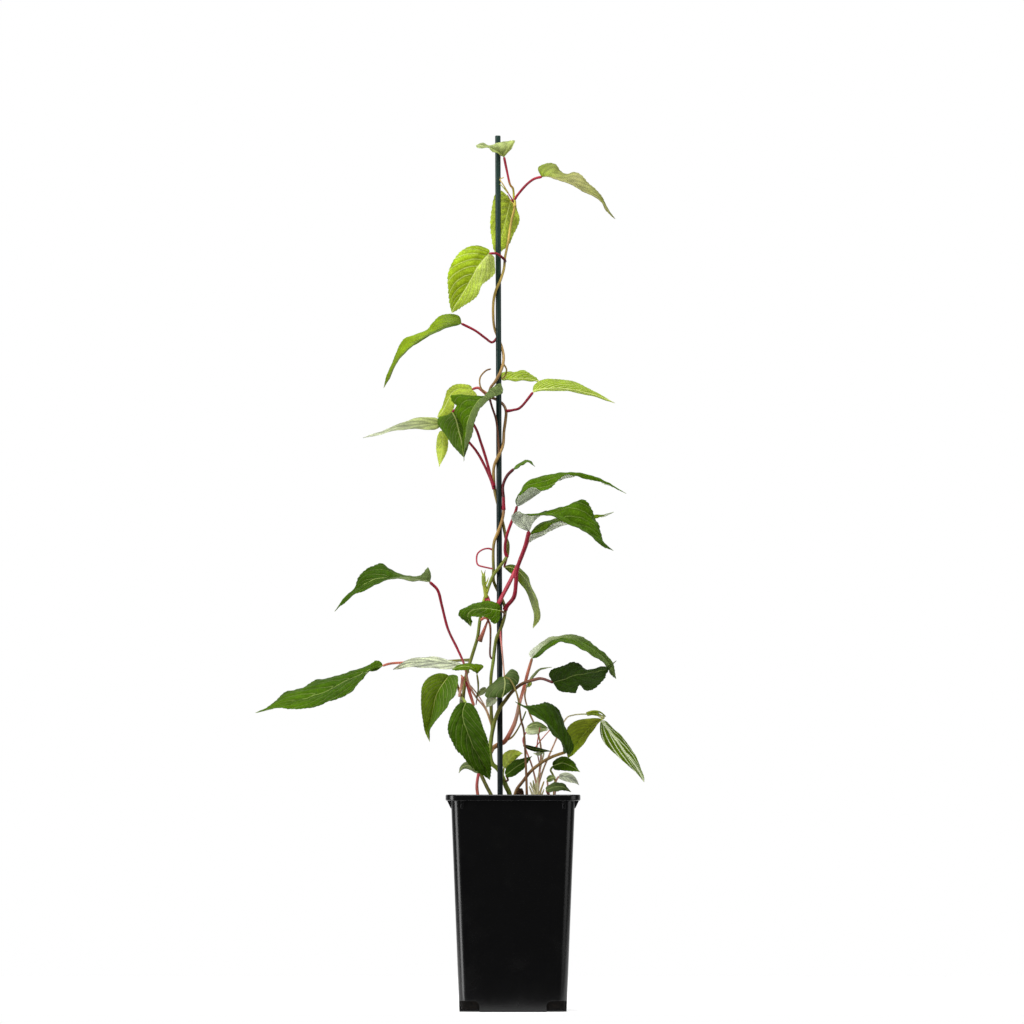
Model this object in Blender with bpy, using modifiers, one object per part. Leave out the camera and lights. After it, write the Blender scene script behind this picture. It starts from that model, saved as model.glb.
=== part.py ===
"""A young kiwi vine trained up a coated stake, in a deep square nursery pot filled with soil.

Run it with blender --background --python part.py, or from the text editor. Units are metres in
the scene; the sizes and places below are in millimetres and are turned into metres by MM. The
origin is the middle of the pot's underside, +Z is up, and the vine is looked at along +Y.
"""

import math
from collections import namedtuple

import bmesh
import bpy
from mathutils import Matrix, Vector
from mathutils.bvhtree import BVHTree

MM = 0.001
GAP = 0.35  # between two pieces that touch
MERGE = 1e-6  # metres within which two points are one
CLEAR = 5.0  # how far a cutter goes past what it cuts

# The pot, a tapered square with rounded corners.
POT_HEIGHT = 215.6
POT_BASE_HALF = 53.3
POT_TOP_HALF = 61.5
POT_CORNER = 9.0
CORNER_STEPS = 4
POT_WALL = 1.6
POT_FLOOR = 2.4
RIM_HALF = 66.9
RIM_BAND = 6.2
RIM_CORNER = 12.0
GUSSET_DROP = 8.4
GUSSET_THICK = 2.0
GUSSET_FROM_CORNER = 11.0
GUSSET_SUNK = 1.0
GUSSET_TOE = 0.4
DRAIN_SIDE = 20.0
DRAIN_HEIGHT = 11.0
DRAIN_ROUND = 5.0
DRAIN_STEPS = 3

# The soil and what stands in it.
SOIL_LEVEL = 204.0
SOIL_BUMP = 1.6
SOIL_CELLS = 14
SOIL_EDGE_FLAT = 6  # the power by which the bumps fade towards the wall
HOLE_SIDES = 12
HOLE_DEPTH = 16.0
BARK_THICK = 2.0
BARK_GRID = (4, 6)
BARK_FROM = 0.2
BARK_LENGTH = 0.6

STAKE_RADIUS = 2.75
STAKE_FOOT = 62.0
STAKE_TOP = 875.3
STAKE_AT_SOIL = -12.8
STAKE_AT_TOP = -15.2
STAKE_SIDES = 16
SHARP_EDGE = math.radians(40)

# Tubes and blades.
STEM_STEP = 10.0
TUBE_ROUNDNESS = 1
PETIOLE_STEP = 0.05
PETIOLE_SHARES = (0.0, 0.5, 1.0)  # of its radius, at which its distance to the blade is tested
PETIOLE_BEHIND = (0.0, 0.7, 1.4, 2.1)
PETIOLE_SIDES = 8
BLADE_THICK = 0.7
LARGE_BLADE = 13.0  # half width from which a blade has more faces
LARGE_GRID = (4, 14)
DRAWN_GRID = (4, 16)
SMALL_GRID = (2, 10)
SPINE_STEP = 2.0
BASE_FULLNESS = 0.62
TIP_DRAWN_OUT = 1.35
ON_MARGIN = 0.99
MARGIN_TOOTH = 0.05
MARGIN_CURL = -16.0
DEFAULT_PEAK = 0.38
DEFAULT_LOBE = 0.5
LOBE_END = 0.3  # how far along the midrib the lobes' backward sweep fades
FAN = 1.5  # how much the rows of a blade with drawn margins crowd at its base
ARCH = 0.08  # how high such a half arches, as a share of its width

Leaf = namedtuple("Leaf", "name tone spine right left peak lobe",
                  defaults=(DEFAULT_PEAK, DEFAULT_LOBE))
Branch = namedtuple("Branch", "radius_from radius_to points leaf", defaults=(None,))

# Each blade has its midrib from base to tip and two halves, the right one on the clockwise side as
# the camera sees it. A half is the points that its margin passes on the way from base to tip, or
# else its width and then its slope at even steps from base to tip: 0 lies across the view, and 90
# comes straight forward. After them come where a blade with widths is widest and how far its base
# lobes sweep back.
LEAVES = (
    Leaf("leaf_01", "young", ((-9, -5, 853.5), (-15, -8, 858), (-22, -10, 861.5), (-27, -11, 863.5),
                              (-32, -12, 864.5), (-37, -12, 864.5)),
         ((-3, -5, 861), (2, -4, 870), (-7, -4.5, 868.5), (-17, -5, 867), (-25, -7, 864.5),
          (-31, -9, 867)),
         ((-13, -9, 855), (-19, -13, 858), (-25, -14, 861.5), (-30, -14, 862), (-35, -13, 861.5))),
    Leaf("leaf_02", "young", ((29, -12, 833), (35, -13, 833), (42, -15, 831), (52, -18, 827.5),
                              (64, -21, 822), (77, -24, 815), (87, -26, 808), (91, -27, 804),
                              (97, -28, 794), (102, -30, 789.5)),
         ((33, -18, 832), (43, -27, 829.5), (54, -33, 825), (66, -36, 819), (79, -35, 812),
          (89, -33, 804.5), (94, -32, 797)),
         ((27, -10, 836), (25, -8, 842), (30, -4, 845), (38, -2, 847), (43, -2, 846),
          (47, -4, 840), (55, -6, 836), (61, -8, 837), (67, -11, 835), (75, -15, 827),
          (82, -19, 820), (87, -21, 814), (91, -23, 806), (96, -25, 798))),
    Leaf("leaf_03", "young", ((-2, 8, 811), (-5, 9, 800), (-9, 10, 785), (-13, 9, 770), (-16, 8, 757)),
         ((-8, 9, 818), (-13, 10, 821), (-18, 10, 816), (-21, 9, 803), (-22.5, 8, 788),
          (-21.5, 8, 775), (-19, 8, 761)),
         ((1, 8, 810), (4, 8, 802), (6.5, 7, 792), (4, 7, 784), (1, 7, 778), (-4, 7, 767),
          (-12, 8, 760))),
    Leaf("leaf_04", "young", ((-24, -14, 756), (-35, -20, 742), (-46, -23, 722), (-57, -22, 705),
                              (-61, -20, 696)),
         ((-24, -13, 760), (-33, -14, 763), (-42, -16, 763), (-51, -18, 759), (-58, -20, 750),
          (-64, -22, 738), (-65, -22, 728), (-64, -22, 718), (-63, -21, 706)),
         ((-19, -13, 753), (-18.5, -14, 745), (-19, -17, 736), (-24, -22, 730), (-31, -27, 724),
          (-35, -29, 714), (-43, -28, 707), (-51, -25, 702), (-57, -22, 698.5))),
    Leaf("leaf_05", "fresh", ((-51.5, -20, 685.5), (-62, -22, 683.5), (-73, -25, 679),
                              (-83, -28, 673.5), (-93, -30, 667), (-102, -31, 661.5),
                              (-110, -31, 654), (-117, -29, 644.5), (-122, -27, 633),
                              (-129, -24, 621)),
         ((-54, -17, 693), (-64, -14, 695.5), (-73, -13, 693.5), (-80, -14, 686.5),
          (-85, -15, 679.5), (-96, -17, 675.5), (-107, -19, 671.5), (-112, -20, 665),
          (-115.5, -21, 657), (-120, -22, 647.5), (-125, -23, 636)),
         ((-56, -28, 683), (-68, -36, 679.5), (-80, -42, 674), (-91, -45, 667.5),
          (-101, -45, 661), (-110, -43, 652.5), (-117, -38, 642), (-123, -31, 631))),
    Leaf("leaf_06", "young", ((-12, 9, 631), (-4, 11, 631), (7, 13, 632), (17, 14, 631), (27, 15, 629)),
         ((-9, 4, 630), (0, 2, 629.5), (10, 4, 629.5), (19, 9, 629.5)),
         ((-14, 13, 635), (-10, 18, 638.5), (1, 22, 639.5), (10, 22, 640.5), (18, 20, 637),
          (24, 17, 632))),
    Leaf("leaf_07", "fresh", ((20, -6, 617.5), (31, -8, 620), (46, -9, 620.5), (61, -8, 619),
                              (76, -6, 615.5), (90, -3, 611.5), (102, 0, 607)),
         ((26, -14, 618), (38, -20, 618.5), (52, -22, 618), (66, -19, 616), (80, -13, 613),
          (92, -6, 610)),
         ((20, -3, 621), (21, 0, 625), (28, 4, 629.5), (40, 6, 631.5), (54, 6, 630), (67, 4, 626),
          (79, 2, 620), (90, 0, 613.5))),
    Leaf("leaf_08", "young", ((-41, 4, 621), (-51, 8, 622.5), (-60, 9, 619), (-66, 8, 608),
                              (-70, 7, 600), (-76, 6, 593)),
         ((-43, 5, 625), (-53, 9, 626.5), (-60, 11, 625), (-66, 12, 620), (-67.5, 12, 613),
          (-72, 10, 602)),
         ((-36, 1, 614), (-44, 0, 613), (-54, 0, 613.5), (-59, 4, 611), (-59, 6, 603), (-66, 6, 594))),
    Leaf("leaf_09", "mature", ((-26.5, -13, 613.5), (-34, -18, 609), (-41, -22, 598),
                               (-46, -24, 584), (-48, -22, 569), (-49, -17, 548)),
         ((-36, -13, 612.5), (-48, -10, 613), (-58, -8, 615), (-62, -8, 614), (-61, -9, 609),
          (-56, -11, 604), (-57, -12, 598), (-54, -13, 590), (-50, -14, 580), (-49, -15, 566)),
         ((-22, -15, 619), (-13, -15, 626), (-10.5, -17, 616), (-20, -22, 611.5), (-26, -27, 608),
          (-32, -32, 602), (-34, -35, 597), (-38, -36, 585), (-43, -32, 570), (-48, -22, 556))),
    Leaf("leaf_10", "fresh", ((-61, -3, 598), (-57, -6, 590), (-54, -8, 578), (-51, -9, 566),
                              (-49, -9, 552)),
         ((-66, -3, 594), (-74, -3, 593), (-75, -4, 586), (-68, -5, 576), (-59, -6, 563)),
         ((-57, 2, 602), (-50, 7, 600), (-44, 7, 586), (-44, 3, 572), (-47, -3, 558))),
    Leaf("leaf_11", "pale", ((-72, 4, 586), (-85, 4, 586.5), (-100, 3, 585), (-115, 1, 582),
                             (-130, -1, 577.5), (-150, -4, 572)),
         ((-76, 6, 592), (-86, 8, 593), (-98, 9, 592), (-110, 8, 588), (-124, 5, 582),
          (-138, 1, 576.5)),
         ((-76, -4, 581), (-88, -12, 580), (-103, -14, 580.5), (-118, -12, 579), (-132, -8, 575.5))),
    Leaf("leaf_12", "young", ((-71, 12, 580), (-71, 13, 565), (-74, 12, 543)),
         (6, -8, -8), (6, -8, -8)),
    Leaf("leaf_13", "mature", ((1, -6, 541), (9, -8, 546), (16, -10, 548), (22, -10, 543)),
         (9, 86, 86), (9, -70, -70)),
    Leaf("leaf_14", "mature", ((4, -10, 503.5), (5, -14, 513), (13, -18, 527), (26, -20, 532.5),
                               (41, -21, 535), (52, -20, 536.5), (68, -18, 535.5), (87, -16, 530),
                               (113, -12, 516)),
         ((3, -16, 508), (4.5, -22, 513), (10, -30, 516), (18, -35, 520), (29, -37, 518),
          (38, -36, 522), (45, -33, 529), (54, -28, 533), (68, -23, 531.5), (87, -18, 527.5)),
         ((9, -4, 505), (17, 0, 511), (27, 2, 518), (38, 2, 525), (50, 0, 531.5), (68, -6, 533.5),
          (90, -10, 527))),
    Leaf("leaf_15", "mature", ((16, -24, 478), (20, -27, 487), (27, -30, 493.5), (38, -33, 495),
                               (48, -35, 492.5), (58, -35, 486.5), (72, -33, 478.5),
                               (87, -30, 468.5), (100, -27, 458.5)),
         ((8, -30, 481), (-1, -33, 490), (4, -36, 496.5), (14, -40, 494.5), (27, -44, 492.5),
          (39, -48, 491), (57, -50, 484.5), (72, -46, 475.5), (87, -38, 464.5)),
         ((19, -20, 486), (24, -17, 494), (33, -15, 497), (46, -13, 498), (51, -12, 502),
          (59, -12, 503), (63, -12, 505), (68, -12, 509), (73, -13, 507), (78, -14, 501),
          (81, -15, 493), (85, -16, 486), (86, -18, 478), (88, -20, 470), (93, -23, 463))),
    Leaf("leaf_16", "mature", ((15, 9, 470), (19, 14, 480), (27, 18, 487), (40, 21, 491),
                               (60, 22, 494), (82, 21, 495), (91, 19, 494), (101, 15, 498.5)),
         ((18, 4, 475), (27, 2, 479), (34, 1, 481), (40, 2, 486), (50, 6, 489), (67, 12, 491.5),
          (84, 17, 493)),
         ((17, 16, 468), (27, 26, 474.5), (39, 32, 480.5), (51, 34, 485.5), (67, 32, 491),
          (85, 26, 494))),
    Leaf("leaf_17", "fresh", ((-9, 9, 443), (-3, 12, 443), (4, 15, 440), (11, 18, 433),
                              (17, 20, 424), (22, 21, 412), (24, 21, 400), (22, 20, 388),
                              (20, 18, 382)),
         ((-5, 8, 439), (1, 8, 434), (7, 9, 427), (12, 11, 421), (16, 13, 412), (19, 15, 404),
          (21, 16, 395)),
         ((-7, 12, 444.5), (-1, 18, 446), (5, 23, 444), (10, 26, 439), (15, 28, 434),
          (17.5, 29, 427), (20, 29, 419), (24, 28, 411), (26, 27, 404), (27.5, 26, 397),
          (26, 23, 390))),
    Leaf("leaf_18", "mature", ((-13, -14, 399), (-24, -18, 401), (-33, -20, 401), (-41, -21, 399.5),
                               (-45, -21, 394), (-42, -20, 383)),
         ((-13, -13, 403), (-18, -13, 407), (-26, -11, 409), (-33, -9, 406.5), (-41, -11, 405),
          (-48, -13, 402), (-53, -15, 398), (-53, -17, 393), (-47, -19, 388)),
         ((-13, -18, 393), (-17, -24, 386), (-24, -28, 390), (-30, -30, 393), (-36, -29, 393),
          (-41, -26, 393), (-41, -22, 388))),
    Leaf("leaf_19", "mature", ((-83, -16, 427.5), (-98, -22, 430), (-113, -26, 431),
                               (-125, -28, 431), (-138, -29, 430), (-148, -28, 425),
                               (-158, -26, 418), (-167, -24, 410), (-178, -18, 398)),
         ((-82, -13, 435), (-85, -10, 442), (-90, -9, 436), (-98, -8, 432.5), (-110, -8, 433),
          (-117, -9, 436), (-125, -11, 442.5), (-132, -13, 446), (-143, -15, 440.5),
          (-153, -17, 433), (-159, -18, 421), (-166, -20, 413)),
         ((-88, -24, 428), (-101, -36, 428.5), (-113, -42, 429.5), (-125, -44, 428),
          (-137, -43, 425), (-147, -40, 418), (-158, -35, 414), (-168, -28, 407))),
    Leaf("leaf_20", "mature", ((-130, -14, 344), (-143, -18, 340), (-153, -20, 335),
                               (-168, -22, 328), (-180, -23, 321), (-193, -23, 316),
                               (-208, -22, 311), (-223, -20, 307), (-241, -15, 301),
                               (-257, -10, 297)),
         ((-132, -12, 348), (-137, -9, 349), (-142, -7, 345), (-151, -4, 340.5), (-163, 0, 338.5),
          (-175, 2, 335), (-188, 2, 330), (-197, 2, 329), (-205, 1, 325), (-217, 0, 321),
          (-225, -1, 318.5), (-231, -3, 313), (-242, -7, 304.5)),
         ((-136, -17, 339.5), (-142, -22, 338), (-146, -28, 336), (-149, -34, 331),
          (-152, -39, 327), (-157, -43, 320), (-164, -45, 315.5), (-175, -45, 311),
          (-184, -44, 308), (-191, -42, 304), (-200, -40, 301.5), (-213, -36, 301),
          (-228, -29, 302), (-243, -18, 300))),
    Leaf("leaf_21", "pale", ((-50, 5, 344), (-62, 7, 346), (-78, 8, 348), (-95, 7, 347.5),
                             (-108, 5, 345.5), (-120, 2, 340.5)),
         ((-54, 8, 347), (-64, 12, 350), (-78, 14, 353), (-94, 13, 352.5), (-108, 9, 349)),
         ((-56, -2, 341.5), (-68, -6, 341), (-84, -8, 342), (-100, -5, 343), (-112, 0, 341.5))),
    Leaf("leaf_22", "mature", ((-36, -11, 336), (-40, -13, 341), (-46, -14, 343.5), (-53, -14, 343),
                               (-61, -13, 340)),
         ((-31, -10, 341), (-29.5, -9, 343.5), (-35, -8, 345.5), (-43, -8, 346), (-52, -9, 345.5)),
         ((-38, -15, 338), (-44, -19, 340), (-52, -19, 339.5))),
    Leaf("leaf_23", "fresh", ((-64, -14, 334), (-72, -19, 323), (-77, -22, 313), (-79, -24, 303),
                              (-82, -25, 290), (-85, -24, 279), (-83, -20, 268)),
         ((-68, -16, 336), (-76, -20, 336), (-83, -23, 333), (-88, -26, 328), (-91, -29, 321),
          (-91.5, -31, 311), (-91, -30, 299), (-89.5, -28, 288), (-87.5, -24, 278)),
         ((-60, -15, 335), (-55, -19, 333), (-55.5, -25, 323), (-58, -30, 314), (-63, -33, 309),
          (-65, -34, 303), (-71, -34, 296), (-77, -32, 289), (-82, -28, 281), (-83, -23, 273))),
    Leaf("leaf_24", "mature", ((-47, -33, 307), (-50, -36, 299), (-49.5, -38, 290),
                               (-46.5, -40, 281), (-43, -41, 272), (-39, -41, 262),
                               (-33, -40, 252), (-28, -38, 242), (-23, -35, 230)),
         ((-53, -34, 306), (-58, -37, 301), (-62, -40, 293), (-64.5, -43, 284), (-64, -45, 276),
          (-60, -46, 268), (-56, -46, 260), (-50, -45, 254), (-44, -43, 246), (-36, -40, 239),
          (-28, -37, 234)),
         ((-42, -34, 306), (-37, -37, 300), (-33, -40, 292), (-30, -43, 282), (-26, -45, 272),
          (-24, -45, 262), (-23, -43, 252), (-22, -40, 242))),
    Leaf("leaf_25", "fresh", ((-34, -12, 239), (-42, -15, 244), (-50, -17, 243), (-54, -17, 237)),
         (8, -52, -52), (8, 68, 68)),
    Leaf("leaf_26", "fresh", ((-9, -15, 333), (-8, -20, 327), (-9, -23, 319), (-11, -24, 312)),
         ((-13, -14, 332.5), (-19, -14, 328), (-25, -15, 322), (-28, -17, 315), (-25, -20, 312),
          (-17, -23, 312.5)),
         ((-5, -12, 337), (-1, -10, 340.5), (4, -11, 338), (6, -13, 333), (5, -16, 327),
          (1, -19, 322), (-4, -22, 318))),
    Leaf("leaf_27", "pale", ((-17, -10, 312), (-22, -11, 309), (-27, -11, 302)),
         (5, 28, 28), (5, 28, 28)),
    Leaf("leaf_28", "mature", ((19, -6, 351.5), (25, -8, 358), (33, -10, 365), (42, -11, 370),
                               (52, -12, 372), (64, -13, 369), (78, -13, 362), (90, -10, 353),
                               (98, -7, 342), (103, -3, 331)),
         ((23, -14, 352), (28, -21, 354), (34, -27, 359), (41, -30, 365), (47, -31, 368.5),
          (57, -32, 365), (66, -31, 360.5), (77, -28, 356), (88, -22, 348), (96, -12, 338)),
         ((16, -3, 356), (20, 0, 362), (28, 2, 367), (38, 3, 371.5), (48, 2, 373.5),
          (57, 0, 375.5), (63, 0, 375), (72, 0, 370), (84, 0, 362), (93, -1, 356), (99, -2, 345))),
    Leaf("leaf_29", "mature", ((40, -26, 327), (50, -30, 330), (60, -32, 333.5), (72, -32, 336),
                               (84, -30, 338), (94, -27, 341), (103, -22, 349)),
         ((43, -29, 323), (48, -37, 318), (55, -43, 317.5), (62, -44, 316.5), (64, -43, 321),
          (67, -42, 324.5), (70, -43, 320), (73, -45, 319), (78, -46, 320), (85, -44, 324.5),
          (91, -38, 331), (93, -31, 337)),
         ((38, -23, 330), (36.5, -20, 335), (40, -18, 340), (47, -17, 343), (54, -17, 345.5),
          (60, -17, 346.5), (67, -18, 344), (74, -18, 340.5), (84, -19, 341), (94, -21, 343))),
    Leaf("leaf_30", "pale", ((13, 4, 322), (21, 6, 335), (28, 8, 341), (39, 10, 343)),
         (9, 90, 90), (9, -74, -74)),
    Leaf("leaf_31", "mature", ((53, -20, 258), (49, -27, 267), (42, -31, 277), (33, -33, 287),
                               (24, -34, 295), (13, -33, 302), (2, -30, 308)),
         ((56.5, -16, 255), (58.5, -12, 261), (58, -9, 269), (55, -7, 279), (50, -7, 288),
          (46, -9, 297), (40, -11, 304.5), (33, -14, 308), (26, -18, 304), (16, -23, 303.5),
          (9, -27, 305)),
         ((51.5, -25, 256.5), (49, -35, 262), (46, -42, 269), (39, -48, 277), (31, -49, 286),
          (22, -46, 294), (13, -39, 300), (7, -34, 304.5))),
    Leaf("leaf_32", "fresh", ((90, 14, 291), (79, 14, 284), (68, 12, 272), (55, 8, 252)),
         ((80, 16, 292), (70, 18, 291), (61, 18, 288), (55, 17, 283), (53, 14, 275), (52, 11, 265)),
         ((85, 10, 286), (78, 6, 277), (71, 4, 267), (64, 4, 259))),
    Leaf("leaf_33", "pale", ((88, 3, 290), (99, 0, 275), (111, -4, 258), (123, -6, 242),
                             (131, -4, 228)),
         ((87, -2, 285), (87, -7, 277), (90, -12, 269), (97, -16, 261), (106, -18, 252),
          (115, -16, 245), (125, -10, 235)),
         ((94, 6, 288), (101, 9, 281), (108, 11, 274), (115, 10, 266), (121, 8, 256),
          (126, 5, 246), (130, 1, 235))),
    Leaf("leaf_34", "pale", ((13, 2, 278), (25, 4, 281), (36, 4, 280)), (6, 48, 48), (7, -32, -32)),
    Leaf("leaf_35", "mature", ((31, 8, 257), (21, 8, 260), (10, 6, 264)), (8, -76, -76), (9, 92, 92)),
    Leaf("leaf_36", "young", ((-9, 9, 243), (-3, 11, 252), (3, 12, 256), (10, 10, 257)),
         (8, -32, -32), (8, -12, -12)),
    Leaf("leaf_37", "mature", ((-7, -9, 235), (2, -11, 242), (11, -12, 248), (19, -11, 254)),
         (9, 56, 56), (9, -37, -37)),
    Leaf("leaf_38", "mature", ((40, -4, 244), (49, -6, 247), (58, -6, 244), (67, -4, 238)),
         (9, 46, 46), (9, -37, -37)),
    Leaf("leaf_39", "pale", ((46, -15, 234), (54, -16, 233), (61, -15, 230), (66, -13, 225)),
         (6, 53, 53), (6, -37, -37)),
    Leaf("leaf_40", "fresh", ((34, -18, 230), (38, -19, 232), (43, -19, 233)), (4, 48, 48), (4, -32, -32)),
    Leaf("leaf_41", "mature", ((33, -28, 220), (41, -29, 223), (50, -29, 223), (58, -27, 218)),
         (8, 66, 66), (8, -50, -50)),
)

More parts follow.
